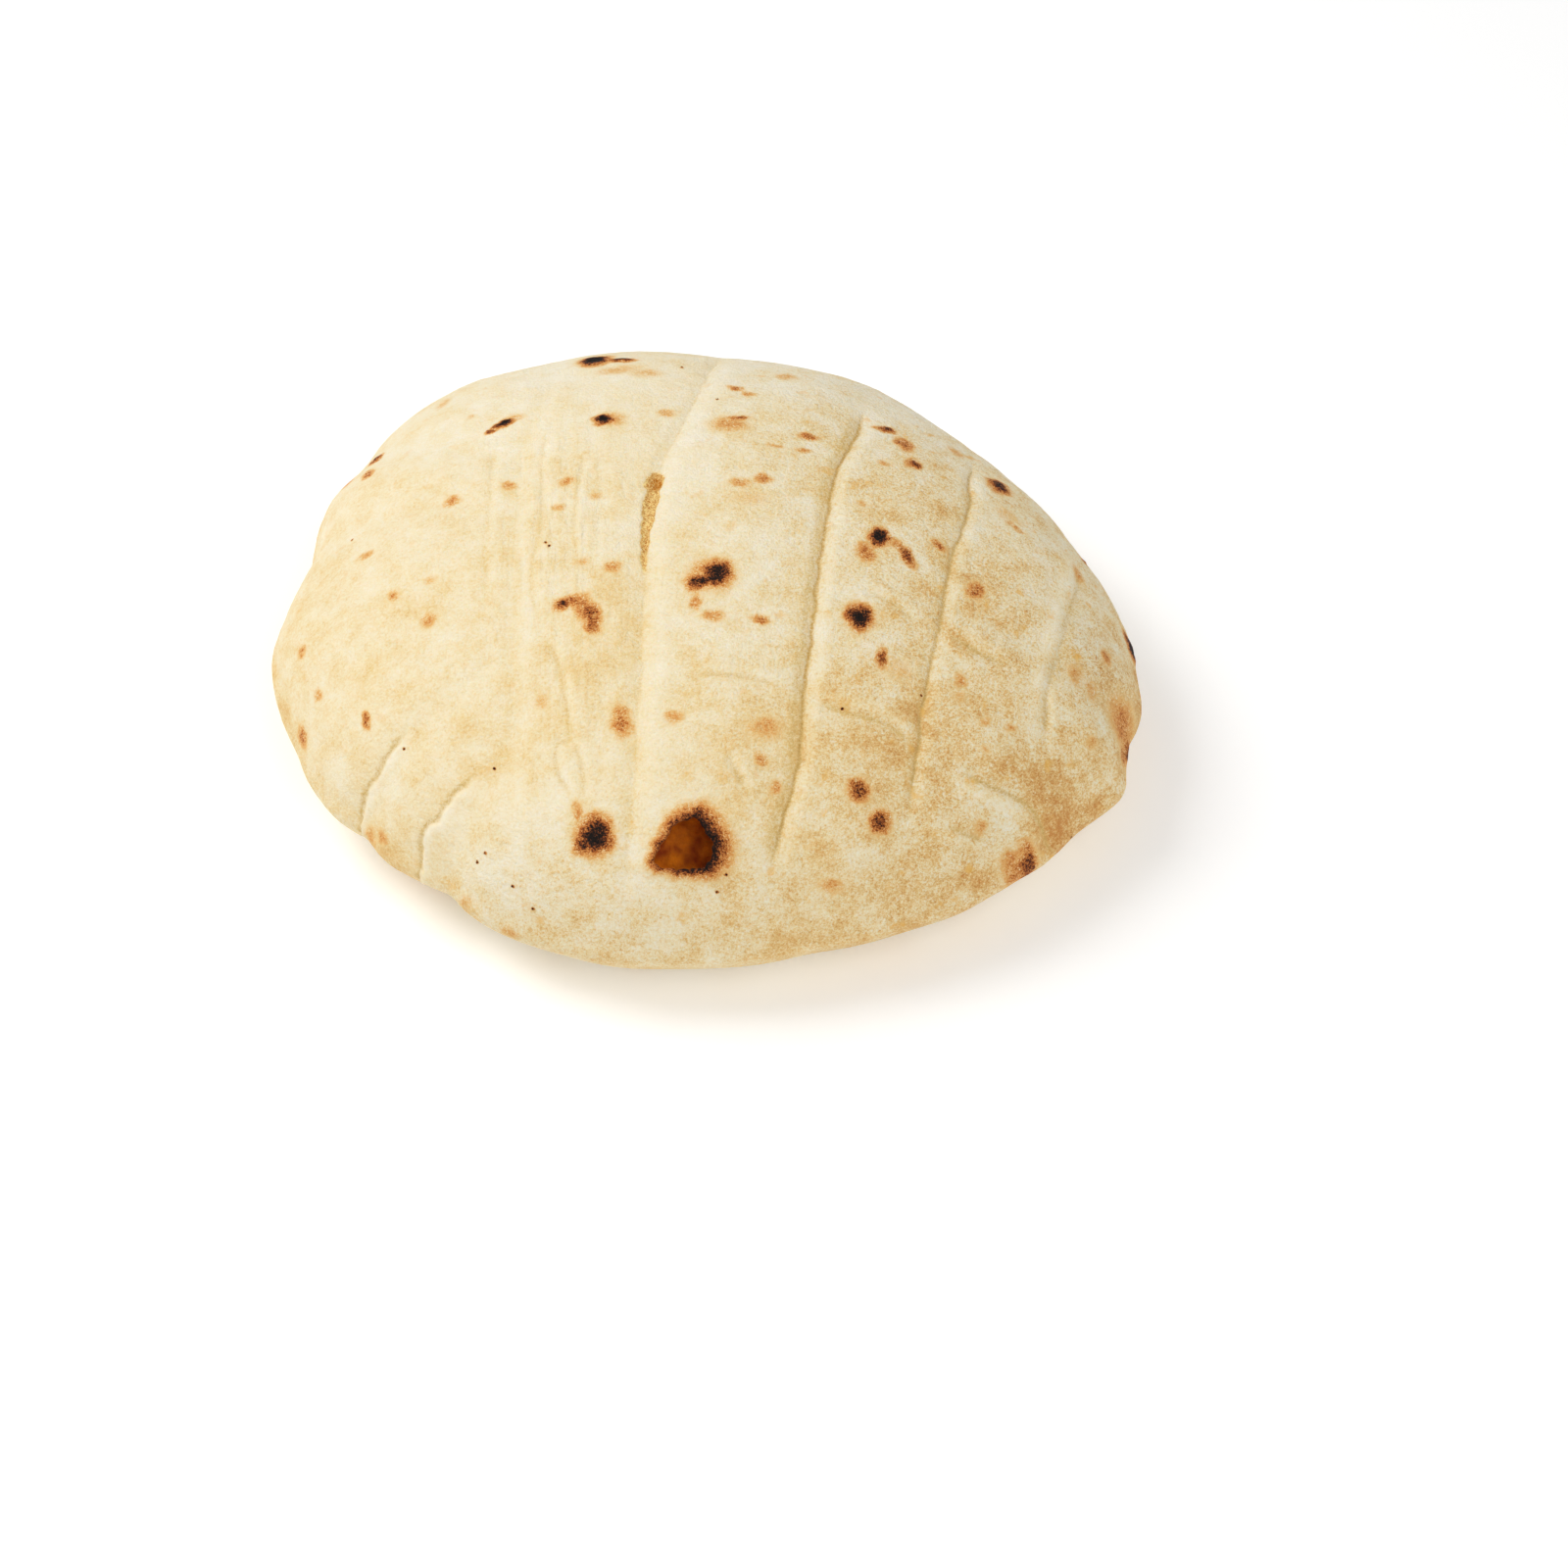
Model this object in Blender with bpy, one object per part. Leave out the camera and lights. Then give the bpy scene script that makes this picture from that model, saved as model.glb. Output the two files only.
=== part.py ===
"""A puffed round flatbread, scored across its top, folded at one edge and burst open at one blister.

Metres, +Z up. The bread stands on its flat underside. The origin is the middle of its base, +X is to the right, and +Y
is away from the side with the burst blister. Run with: blender --background --python part.py
"""

import math

import bmesh
import bpy
import numpy as np
from mathutils import Matrix, Vector

MM = 0.001

# The body: a dome over a rim, on a base that curls up to the rim
RIM_RADII = np.array(
    (108, 101, 97, 96, 98, 98, 100, 105, 110, 114, 112, 108, 110, 109, 107, 102, 104, 103, 102, 102, 104, 108, 113, 111)
) * MM  # every 15 degrees, turning from +X towards +Y
RIM_HEIGHT = 18 * MM
DOME_RISE = 43 * MM
DOME_PLUMPNESS = 2.3
BASE_SHARE = 0.7  # how far out the level of the base reaches, as a share of the rim's radius
FLAT_SIDES = 7  # the bread rests on a flat whose few wide corners keep it from rocking
FLAT_RADIUS = 72 * MM
FLAT_EASE = 1 * MM  # how high the underside has risen where it leaves the flat for its curl
PINCH_REACH = 1.2 * MM  # the thin edge where the top and bottom skins meet
PINCH_HALF_HEIGHT = 3.2 * MM

# Lumps and nicks round the rim: direction in degrees, size, half width in degrees
RIM_LUMPS = (
    (20, 0.8 * MM, 5),
    (62, 0.9 * MM, 6),
    (126, 1.2 * MM, 5),
    (146, -1.5 * MM, 5),
    (155, 1.2 * MM, 4),
    (165, -1.0 * MM, 4),
    (180, 0.9 * MM, 6),
    (197, -0.8 * MM, 4),
    (215, -2.0 * MM, 3),
    (222, 1.3 * MM, 4),
    (231, -1.6 * MM, 3),
    (256, 0.9 * MM, 6),
    (284, -0.9 * MM, 5),
    (305, 0.9 * MM, 5),
    (325, -1.5 * MM, 4),
    (333, 1.5 * MM, 3),
    (340, -1.3 * MM, 3),
    (347, 1.2 * MM, 4),
)

# Scores cut across the top before baking, from the far rim to the near one: points in plan, depth, half width, lip
SCORES = {
    "left": (((-38, 70), (-45, 40), (-47, 0), (-47, -45), (-49, -84)), 0.4 * MM, 3.0 * MM, 0.2 * MM),
    "middle": (
        ((6, 86), (0, 60), (-5, 42), (-10, 24), (-14, 1), (-15, -17), (-16, -38), (-18, -68), (-21, -93)),
        1.4 * MM,
        2.9 * MM,
        0.5 * MM,
    ),
    "right of middle": (
        ((43, 57), (38, 36), (33, 21), (30, 1), (26, -26), (23, -51), (20, -71), (15, -88)),
        1.5 * MM,
        2.3 * MM,
        0.4 * MM,
    ),
    "right": (
        ((70, 42), (68, 29), (66, 12), (61, -6), (57, -25), (52, -49), (49, -68), (47, -79)),
        1.1 * MM,
        2.1 * MM,
        0.3 * MM,
    ),
    "far right": (((95, 14), (93, -4), (89, -17), (84, -36), (83, -50)), 1.1 * MM, 2.5 * MM, 0.4 * MM),
}
SCORE_FADE = 14 * MM  # the length over which a score runs out at its ends
LIP_OFFSET = 1.7  # where a score's raised lips stand, in half widths from its middle
STRIP_RISE = 1.0 * MM  # how far the strips between two scores swell
STRIP_FADE_POWER = 6  # how late the swell of the strips falls away towards the rim
NARROWEST_STRIP = 5 * MM

# Folds where the skin laps over itself, from inside the dome to the rim: points in plan, and the height of the step
FOLDS = {
    "outer": (((-70, -44), (-74, -50), (-78, -53), (-82, -57), (-85, -61)), 1.8 * MM),
    "inner": (((-50, -60), (-58, -64), (-65, -67), (-69, -70), (-70, -75)), 1.6 * MM),
}
FOLD_WIDTH = 2.6 * MM  # the width of the step
FOLD_NIP = 0.45  # how deep the skin is nipped in at the fold, as a share of the step
FOLD_REACH = 9 * MM  # how far the lapped skin stays raised
FOLD_FADE = 9 * MM  # the length over which a fold grows out of the dome

# Shallow wrinkles across the strips, which follow the near edge: points in plan
WRINKLES = {
    "front arc": ((-5, -46), (22, -50), (50, -62), (69, -67), (84, -70)),
    "right crest": ((58, -77), (69, -73), (80, -69)),
}
WRINKLE_DEPTH = 0.6 * MM
WRINKLE_HALF_WIDTH = 2.6 * MM

# The relief fades out below the rim: from none to all of it between these shares of the rim's height
PLAIN_SHARE = 0.55
FULL_SHARE = 1.05

# Broad unevenness of the dome: place in plan, height and half width
SWELLS = (
    ((-70, 10), 1.0 * MM, 30 * MM),
    ((-15, -78), 1.4 * MM, 20 * MM),
    ((52, -74), -1.3 * MM, 16 * MM),
    ((92, -30), 1.6 * MM, 13 * MM),
    ((60, 30), 0.9 * MM, 22 * MM),
    ((-75, 66), -1.0 * MM, 18 * MM),
)

# The burst blister: an opening of uneven outline over a pocket that widens under the skin
BURST_PLACE = (-7, -86)
BURST_REACH = np.array((7.3, 6.6, 7.1, 5.7, 4.7, 4.0, 5.3, 7.4, 5.9, 5.2, 6.1, 7.5)) * MM  # every 30 degrees
BURST_RIM_RISE = 0.8 * MM
BURST_RIM_HALF_WIDTH = 3.2 * MM
BURST_SIDES = 24
POCKET_RINGS = (
    (5.0 * MM, 1.0),
    (0.0 * MM, 1.0),
    (-2.2 * MM, 0.96),
    (-4.5 * MM, 1.3),
    (-8.0 * MM, 1.42),
    (-11.5 * MM, 1.2),
    (-13.0 * MM, 0.7),
)  # height over the skin, and spread as a share of the opening

# The gash where the middle score tore open: two ends in plan
GASH_ENDS = ((-12, 20), (-15, -17))
GASH_HALF_WIDTH = 1.6 * MM
GASH_DEPTH = 3.4 * MM

# The mesh: a grid over the dome whose columns follow the scores, and rings that curl under it
ROWS = 61
SCORE_LINES = (-1.7, -0.85, 0.0, 0.85, 1.7)  # the columns along each score, in half widths from its middle
LEFT_COLUMNS = 16
STRIP_COLUMNS = 3
RIGHT_COLUMNS = 5
BUNCHING = 0.93  # how nearly the rows and columns bunch up to the steep skin at the rim, as a sine does at 1
CURL_RINGS = 6
SNAP_REACH = 1.4 * MM  # how near a fold a point of the mesh is drawn on to it
PATH_STEPS = 16  # points along a path between two of its places
CRUST_COLOUR = (0.85, 0.70, 0.45, 1.0)
CRUST_ROUGHNESS = 0.75


def smooth_loop(values, place):
    """The closed smooth curve through evenly spaced values, at places counted in steps from the first."""
    step = np.floor(place).astype(int)
    part = place - step
    before, here, after, beyond = (values[(step + k) % len(values)] for k in (-1, 0, 1, 2))
    bend = 2 * before - 5 * here + 4 * after - beyond
    twist = 3 * (here - after) + beyond - before
    return here + 0.5 * part * (after - before + part * (bend + part * twist))


def rim_radius(angle):
    """Distance of the rim from the bread's axis in each direction, lumps and nicks included."""
    degrees = np.degrees(angle) % 360
    radius = smooth_loop(RIM_RADII, degrees * len(RIM_RADII) / 360)
    for direction, size, half_width in RIM_LUMPS:
        off = (degrees - direction + 180) % 360 - 180
        radius = radius + size * np.exp(-((off / half_width) ** 2))
    return radius


def edge_radius(angle, share, height):
    """How far out the skin is in a direction, for its share of the way to the rim, with the thin edge at the rim."""
    pinch = PINCH_REACH * np.exp(-(((height - RIM_HEIGHT) / PINCH_HALF_HEIGHT) ** 2))
    return share * (rim_radius(angle) - PINCH_REACH) + pinch


def dome_height(x, y):
    """Height of the smooth dome over a place in plan."""
    reach = np.hypot(x, y) / rim_radius(np.arctan2(y, x))
    return RIM_HEIGHT + DOME_RISE * np.sqrt(np.clip(1 - reach**DOME_PLUMPNESS, 0, 1))


def on_dome(place):
    """The point of the smooth dome over a place given in millimetres."""
    x, y = place[0] * MM, place[1] * MM
    return np.array((x, y, dome_height(np.array(x), np.array(y))))


def skin_path(places):
    """A smooth line on the dome through places in plan."""
    plan = np.array(places, float) * MM
    ends = np.vstack([2 * plan[0] - plan[1], plan, 2 * plan[-1] - plan[-2]])
    line = []
    for before, here, after, beyond in zip(ends, ends[1:], ends[2:], ends[3:]):
        for part in np.arange(PATH_STEPS) / PATH_STEPS:
            bend = 2 * before - 5 * here + 4 * after - beyond
            twist = 3 * (here - after) + beyond - before
            line.append(here + 0.5 * part * (after - before + part * (bend + part * twist)))
    line = np.array([*line, plan[-1]])
    return np.column_stack([line, dome_height(line[:, 0], line[:, 1])])


def beside(path, points):
    """How far each point is from the path, positive to the right of its run, and how far along the path it lies."""
    start, run = path[:-1], np.diff(path, axis=0)
    length = np.linalg.norm(run, axis=1)
    to_point = points[:, None] - start
    share = np.clip((to_point * run).sum(2) / length**2, 0, 1)
    gap = to_point - share[:, :, None] * run
    distance = np.linalg.norm(gap, axis=2)
    nearest = distance.argmin(1)
    row = np.arange(len(points))
    gap, ahead = gap[row, nearest], run[nearest]
    side = np.where(gap[:, 0] * ahead[:, 1] - gap[:, 1] * ahead[:, 0] >= 0, 1, -1)
    before = np.concatenate([[0], np.cumsum(length)])[nearest]
    return distance[row, nearest] * side, before + share[row, nearest] * length[nearest]


def path_length(path):
    return np.linalg.norm(np.diff(path, axis=0), axis=1).sum()


def along_path(path, distance):
    """The points of the path at the given distances from its start."""
    passed = np.concatenate([[0], np.cumsum(np.linalg.norm(np.diff(path, axis=0), axis=1))])
    return np.column_stack([np.interp(distance, passed, path[:, k]) for k in range(3)])


def ramp(value, width):
    """Rises smoothly from 0 to 1 as value goes from 0 to width."""
    part = np.clip(value / width, 0, 1)
    return part * part * (3 - 2 * part)


def bump(distance, half_width):
    return np.exp(-((distance / half_width) ** 2))


def run_out(along, path, fade):
    """1 along the path, falling to 0 at both ends."""
    return ramp(along, fade) * ramp(path_length(path) - along, fade)


def score_relief(points):
    """A groove for each score, with a raised lip on its right and a lower one on its left."""
    relief = np.zeros(len(points))
    for places, depth, half_width, lip in SCORES.values():
        path = skin_path(places)
        off, along = beside(path, points)
        groove = -depth * bump(off, half_width)
        lips = lip * bump(off + LIP_OFFSET * half_width, half_width)
        lips += 0.5 * lip * bump(off - LIP_OFFSET * half_width, half_width)
        relief += (groove + lips) * run_out(along, path, SCORE_FADE)
    return relief


def strip_relief(points):
    """The swell of each strip between two neighbouring scores."""
    lines = []
    for places, *_ in SCORES.values():
        path = skin_path(places)[::-1]
        lines.append(np.interp(points[:, 1], path[:, 1], path[:, 0]))
    relief = np.zeros(len(points))
    for left, right in zip(lines, lines[1:]):
        share = (points[:, 0] - left) / np.maximum(right - left, NARROWEST_STRIP)
        relief += STRIP_RISE * np.where((share > 0) & (share < 1), np.sin(math.pi * np.clip(share, 0, 1)), 0)
    reach = np.hypot(points[:, 0], points[:, 1]) / rim_radius(np.arctan2(points[:, 1], points[:, 0]))
    return relief * (1 - reach**STRIP_FADE_POWER)


def fold_relief(points):
    """Skin lapped over beside each fold: a nip at its line, a step up, and a slow fall beyond it."""
    relief = np.zeros(len(points))
    for places, step in FOLDS.values():
        path = skin_path(places)
        off, along = beside(path, points)
        lap = step * ramp(-off, FOLD_WIDTH) * np.exp(-np.maximum(-off, 0) / FOLD_REACH)
        nip = -FOLD_NIP * step * bump(off, FOLD_WIDTH)
        relief += (lap + nip) * ramp(along, FOLD_FADE)
    return relief


def wrinkle_relief(points):
    relief = np.zeros(len(points))
    for places in WRINKLES.values():
        path = skin_path(places)
        off, along = beside(path, points)
        relief -= WRINKLE_DEPTH * bump(off, WRINKLE_HALF_WIDTH) * run_out(along, path, SCORE_FADE)
    return relief


def swell_relief(points):
    relief = np.zeros(len(points))
    for place, height, half_width in SWELLS:
        relief += height * bump(np.linalg.norm(points - on_dome(place), axis=1), half_width)
    return relief


def burst_relief(points):
    """The collar of crust round the burst blister."""
    distance = np.linalg.norm(points - on_dome(BURST_PLACE), axis=1)
    return BURST_RIM_RISE * bump(distance - BURST_REACH.mean(), BURST_RIM_HALF_WIDTH)


def top_relief(points):
    """How far the skin stands off the smooth body, along its normal. The underside stays plain."""
    relief = score_relief(points) + strip_relief(points) + fold_relief(points)
    relief += wrinkle_relief(points) + swell_relief(points) + burst_relief(points)
    return relief * ramp(points[:, 2] - PLAIN_SHARE * RIM_HEIGHT, (FULL_SHARE - PLAIN_SHARE) * RIM_HEIGHT)


def square_place(x, y):
    """Where a place in plan lies in the square from -1 to 1 that the grid fills, whose edge is the rim."""
    angle = np.arctan2(y, x)
    share = np.hypot(x, y) / rim_radius(angle)
    x, y = share * np.cos(angle), share * np.sin(angle)
    root, lean = 2 * math.sqrt(2), x**2 - y**2
    across = 0.5 * (np.sqrt(2 + lean + root * x) - np.sqrt(np.maximum(2 + lean - root * x, 0)))
    up = 0.5 * (np.sqrt(np.maximum(2 - lean + root * y, 0)) - np.sqrt(np.maximum(2 - lean - root * y, 0)))
    return across, up


def dome_points(across, up):
    """Points of the smooth dome for places in the square."""
    x, y = across * np.sqrt(1 - up**2 / 2), up * np.sqrt(1 - across**2 / 2)
    angle, share = np.arctan2(y, x), np.minimum(np.hypot(x, y), 1)
    height = RIM_HEIGHT + DOME_RISE * np.sqrt(1 - share**DOME_PLUMPNESS)
    radius = edge_radius(angle, share, height)
    return np.column_stack([radius * np.cos(angle), radius * np.sin(angle), height])


def bunched(count):
    """Shares of the way in from the rim, closest together at the rim."""
    steep = 0.5 * math.pi * BUNCHING
    return 1 - np.sin(steep * (1 - np.arange(count) / count)) / math.sin(steep)


def grid_columns(rows):
    """How far across the square each column stands in every row, so that columns run along the scores."""
    lines = []
    for places, _, half_width, _ in SCORES.values():
        path = skin_path(places)
        across, up = square_place(path[::-1, 0], path[::-1, 1])
        middle = np.interp(rows, up, across)
        width = half_width / RIM_RADII.mean()
        group = [middle + line * width for line in SCORE_LINES]
        if lines:
            shares = np.arange(1, STRIP_COLUMNS + 1) / (STRIP_COLUMNS + 1)
            lines += [lines[-1] + share * (group[0] - lines[-1]) for share in shares]
        lines += group
    left = [-1 + share * (lines[0] + 1) for share in bunched(LEFT_COLUMNS)]
    right = [1 - share * (1 - lines[-1]) for share in bunched(RIGHT_COLUMNS)[::-1]]
    return np.array(left + lines + right)


def make_dome(mesh):
    """The open top skin, as a grid that fills the outline of the bread."""
    half = bunched(ROWS // 2) - 1
    rows = np.concatenate([half, [0], -half[::-1]])
    columns = grid_columns(rows)
    bmesh.ops.create_grid(mesh, x_segments=len(columns) - 1, y_segments=len(rows) - 1, size=1)
    verts = sorted(mesh.verts, key=lambda vert: (round(vert.co.y, 4), vert.co.x))
    points = dome_points(columns.T.ravel(), np.repeat(rows, len(columns)))
    for vert, point in zip(verts, points):
        vert.co = point
    bmesh.ops.triangulate(mesh, faces=mesh.faces)


def curl_under(mesh):
    """Draws the skin's open edge down and in, ring by ring, to just above the flat of the base."""
    last = math.asin(1 - FLAT_EASE / RIM_HEIGHT)
    for curl in last * np.arange(1, CURL_RINGS + 1) / CURL_RINGS:
        height = RIM_HEIGHT * (1 - math.sin(curl))
        share = BASE_SHARE + (1 - BASE_SHARE) * math.cos(curl)
        edge = [edge for edge in mesh.edges if edge.is_boundary]
        made = bmesh.ops.extrude_edge_only(mesh, edges=edge)["geom"]
        for vert in (item for item in made if isinstance(item, bmesh.types.BMVert)):
            angle = math.atan2(vert.co.y, vert.co.x)
            radius = float(edge_radius(np.array(angle), share, height))
            vert.co = (radius * math.cos(angle), radius * math.sin(angle), height)


def lay_edges_along(mesh, path):
    """Draws the mesh's nearby points on to the path, and splits the edges that still cross it."""
    verts = list(mesh.verts)
    off, along = beside(path, np.array([vert.co for vert in verts]))
    on_path = (along > 0) & (along < path_length(path))
    drawn = on_path & (np.abs(off) < SNAP_REACH)
    line = []
    for k, place in zip(np.flatnonzero(drawn), along_path(path, along[drawn])):
        verts[k].co = place
        line.append(verts[k])
    state = {vert: (off[k], along[k]) for k, vert in enumerate(verts) if on_path[k] and not drawn[k]}
    for edge in list(mesh.edges):
        start, end = edge.verts
        if start in state and end in state and state[start][0] * state[end][0] < 0:
            share = state[start][0] / (state[start][0] - state[end][0])
            middle = state[start][1] + share * (state[end][1] - state[start][1])
            _, vert = bmesh.utils.edge_split(edge, start, share)
            vert.co = along_path(path, [middle])[0]
            line.append(vert)
    bmesh.ops.connect_verts(mesh, verts=line)
    bmesh.ops.triangulate(mesh, faces=[face for face in mesh.faces if len(face.verts) > 3])


def close_base(mesh):
    """Joins the curl to a flat with few corners, on which the bread rests."""
    around = [edge for edge in mesh.edges if edge.is_boundary]
    flat = bmesh.ops.create_circle(mesh, cap_ends=True, segments=FLAT_SIDES, radius=FLAT_RADIUS)["verts"]
    outline = {edge for vert in flat for edge in vert.link_edges}
    bmesh.ops.bridge_loops(mesh, edges=[*around, *outline])
    bmesh.ops.recalc_face_normals(mesh, faces=mesh.faces)
    bmesh.ops.triangulate(mesh, faces=mesh.faces)


def crust_material():
    material = bpy.data.materials.new("baked_crust")
    material.use_nodes = True
    shader = material.node_tree.nodes["Principled BSDF"]
    shader.inputs["Base Color"].default_value = CRUST_COLOUR
    shader.inputs["Roughness"].default_value = CRUST_ROUGHNESS
    shader.inputs["Metallic"].default_value = 0.0
    return material


def make_object(name, mesh, collection, material=None):
    data = bpy.data.meshes.new(name)
    mesh.to_mesh(data)
    mesh.free()
    if material:
        data.materials.append(material)
        data.shade_smooth()
    made = bpy.data.objects.new(name, data)
    collection.objects.link(made)
    return made


def make_bread(collection):
    """The whole bread as one closed skin: a dome, curled under to its base, and then given its relief."""
    mesh = bmesh.new()
    make_dome(mesh)
    for places, _ in FOLDS.values():
        lay_edges_along(mesh, skin_path(places))
    curl_under(mesh)
    close_base(mesh)
    mesh.normal_update()
    points = np.array([vert.co for vert in mesh.verts])
    normals = np.array([vert.normal for vert in mesh.verts])
    points += normals * top_relief(points)[:, None]
    for vert, point in zip(mesh.verts, points):
        vert.co = point
    return make_object("bread", mesh, collection, crust_material())


def dome_frame(place, along=(1.0, 0.0)):
    """A frame standing on the dome: X runs in the given direction of the plan, Z points out of the skin."""
    origin = Vector(on_dome(place))
    ahead = Vector(on_dome((place[0] + along[0], place[1] + along[1]))) - origin
    aside = Vector(on_dome((place[0] - along[1], place[1] + along[0]))) - origin
    out = ahead.cross(aside).normalized()
    ahead.normalize()
    return Matrix.Translation(origin) @ Matrix((ahead, out.cross(ahead), out)).transposed().to_4x4()


def ring_points(height, spread):
    """One ring of the pocket's cutter, in the frame of the burst blister."""
    for k in range(BURST_SIDES):
        turn = 2 * math.pi * k / BURST_SIDES
        reach = spread * float(smooth_loop(BURST_REACH, np.array(k * len(BURST_REACH) / BURST_SIDES)))
        yield Vector((reach * math.cos(turn), reach * math.sin(turn), height))


def make_pocket_cutter(collection):
    """The hollow of the burst blister: its outline, drawn down ring by ring."""
    mesh = bmesh.new()
    ring = bmesh.ops.create_circle(mesh, cap_ends=True, segments=BURST_SIDES, radius=1)["verts"]
    order = sorted(ring, key=lambda vert: math.atan2(vert.co.y, vert.co.x) % (2 * math.pi))
    for k, (height, spread) in enumerate(POCKET_RINGS):
        if k:
            cap = next(face for face in mesh.faces if set(face.verts) == set(order))
            above = {tuple(vert.co): i for i, vert in enumerate(order)}
            new = bmesh.ops.extrude_face_region(mesh, geom=[cap, *cap.edges, *cap.verts])["geom"]
            ring = [item for item in new if isinstance(item, bmesh.types.BMVert)]
            order = sorted(ring, key=lambda vert: above[tuple(vert.co)])
        for vert, point in zip(order, ring_points(height, spread)):
            vert.co = point
    bmesh.ops.recalc_face_normals(mesh, faces=mesh.faces)
    cutter = make_object("pocket_cutter", mesh, collection)
    cutter.matrix_world = dome_frame(BURST_PLACE)
    return cutter


def make_gash_cutter(collection):
    """A long lens that opens the torn stretch of the middle score."""
    start, end = (np.array(place, float) for place in GASH_ENDS)
    run = end - start
    length = float(np.linalg.norm(run))
    mesh = bmesh.new()
    bmesh.ops.create_uvsphere(mesh, u_segments=20, v_segments=8, radius=1)
    size = (0.5 * length * MM, GASH_HALF_WIDTH, GASH_DEPTH)
    bmesh.ops.transform(mesh, matrix=Matrix.Diagonal((*size, 1.0)), verts=mesh.verts)
    cutter = make_object("gash_cutter", mesh, collection)
    cutter.matrix_world = dome_frame((start + end) / 2, tuple(run / length))
    return cutter


def cut(target, cutter):
    cutter.hide_render = True
    cutter.display_type = "WIRE"
    modifier = target.modifiers.new(cutter.name, "BOOLEAN")
    modifier.operation = "DIFFERENCE"
    modifier.solver = "EXACT"
    modifier.object = cutter


def new_collection(name):
    made = bpy.data.collections.new(name)
    bpy.context.scene.collection.children.link(made)
    return made


def main():
    for old in list(bpy.data.objects):
        bpy.data.objects.remove(old)
    parts = new_collection("lepinja")
    cutters = new_collection("cutters")
    bread = make_bread(parts)
    cut(bread, make_pocket_cutter(cutters))
    cut(bread, make_gash_cutter(cutters))


main()
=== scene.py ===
"""Looks of a puffed round flatbread: its scored, folded, burst and spot-burnt crust, and the light on it."""

import math
from typing import NamedTuple

import bmesh
import bpy
import numpy as np
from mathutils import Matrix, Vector, noise


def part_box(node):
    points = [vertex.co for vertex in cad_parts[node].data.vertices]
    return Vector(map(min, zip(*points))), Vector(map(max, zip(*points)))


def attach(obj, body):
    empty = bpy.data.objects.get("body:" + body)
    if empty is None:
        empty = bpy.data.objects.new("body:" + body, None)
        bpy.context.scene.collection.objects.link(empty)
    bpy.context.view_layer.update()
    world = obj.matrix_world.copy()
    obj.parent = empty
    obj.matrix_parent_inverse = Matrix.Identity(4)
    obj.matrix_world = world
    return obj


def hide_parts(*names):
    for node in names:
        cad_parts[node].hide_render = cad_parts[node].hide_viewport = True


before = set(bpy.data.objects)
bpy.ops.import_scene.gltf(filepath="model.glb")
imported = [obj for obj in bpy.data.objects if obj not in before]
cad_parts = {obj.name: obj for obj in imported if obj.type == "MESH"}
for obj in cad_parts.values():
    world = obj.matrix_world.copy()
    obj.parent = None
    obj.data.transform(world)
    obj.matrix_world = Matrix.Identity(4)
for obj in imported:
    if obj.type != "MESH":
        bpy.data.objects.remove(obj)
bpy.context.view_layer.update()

NODE = "bread"
LOW, HIGH = (Vector(corner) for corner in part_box(NODE))
MM = (HIGH.x - LOW.x) / 220.18  # a millimetre of the bread, worked out from the frame

# The body: a dome over a rim, on a base that curls up to the rim
RIM_RADII = np.array(
    (108, 101, 97, 96, 98, 98, 100, 105, 110, 114, 112, 108)
    + (110, 109, 107, 102, 104, 103, 102, 102, 104, 108, 113, 111)
) * MM  # every 15 degrees, turning from +X towards +Y
RIM_HEIGHT = 18 * MM
DOME_RISE = 43 * MM
DOME_PLUMPNESS = 2.3
BASE_SHARE = 0.7
PINCH_REACH = 1.2 * MM
PINCH_HALF_HEIGHT = 3.2 * MM
RELIEF_START = 0.55 * RIM_HEIGHT  # below this the skin keeps the smooth body's shape
RELIEF_FADE = 0.5 * RIM_HEIGHT

# Lumps and nicks round the rim: direction in degrees, size, half width in degrees
RIM_LUMPS = (
    (20, 0.8 * MM, 5),
    (62, 0.9 * MM, 6),
    (126, 1.2 * MM, 5),
    (146, -1.5 * MM, 5),
    (155, 1.2 * MM, 4),
    (165, -1.0 * MM, 4),
    (180, 0.9 * MM, 6),
    (197, -0.8 * MM, 4),
    (215, -2.0 * MM, 3),
    (222, 1.3 * MM, 4),
    (231, -1.6 * MM, 3),
    (256, 0.9 * MM, 6),
    (284, -0.9 * MM, 5),
    (305, 0.9 * MM, 5),
    (325, -1.5 * MM, 4),
    (333, 1.5 * MM, 3),
    (340, -1.3 * MM, 3),
    (347, 1.2 * MM, 4),
)


class Score(NamedTuple):
    """A score across the top, in millimetres. Its smooth pale lip, pale stretched skin with a painted
    highlight where it faces the key light, is on the left of the run of its places.
    """

    places: tuple  # in plan
    depth: float  # of the furrow
    half_width: float
    cut: float  # how much deeper the line in its middle is
    lip: float  # how high the lip stands
    lip_half_width: float
    line_amber: float  # how amber that line is, and how strong the painted shade on the slope without a lip is
    slope_shade: float


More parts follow.
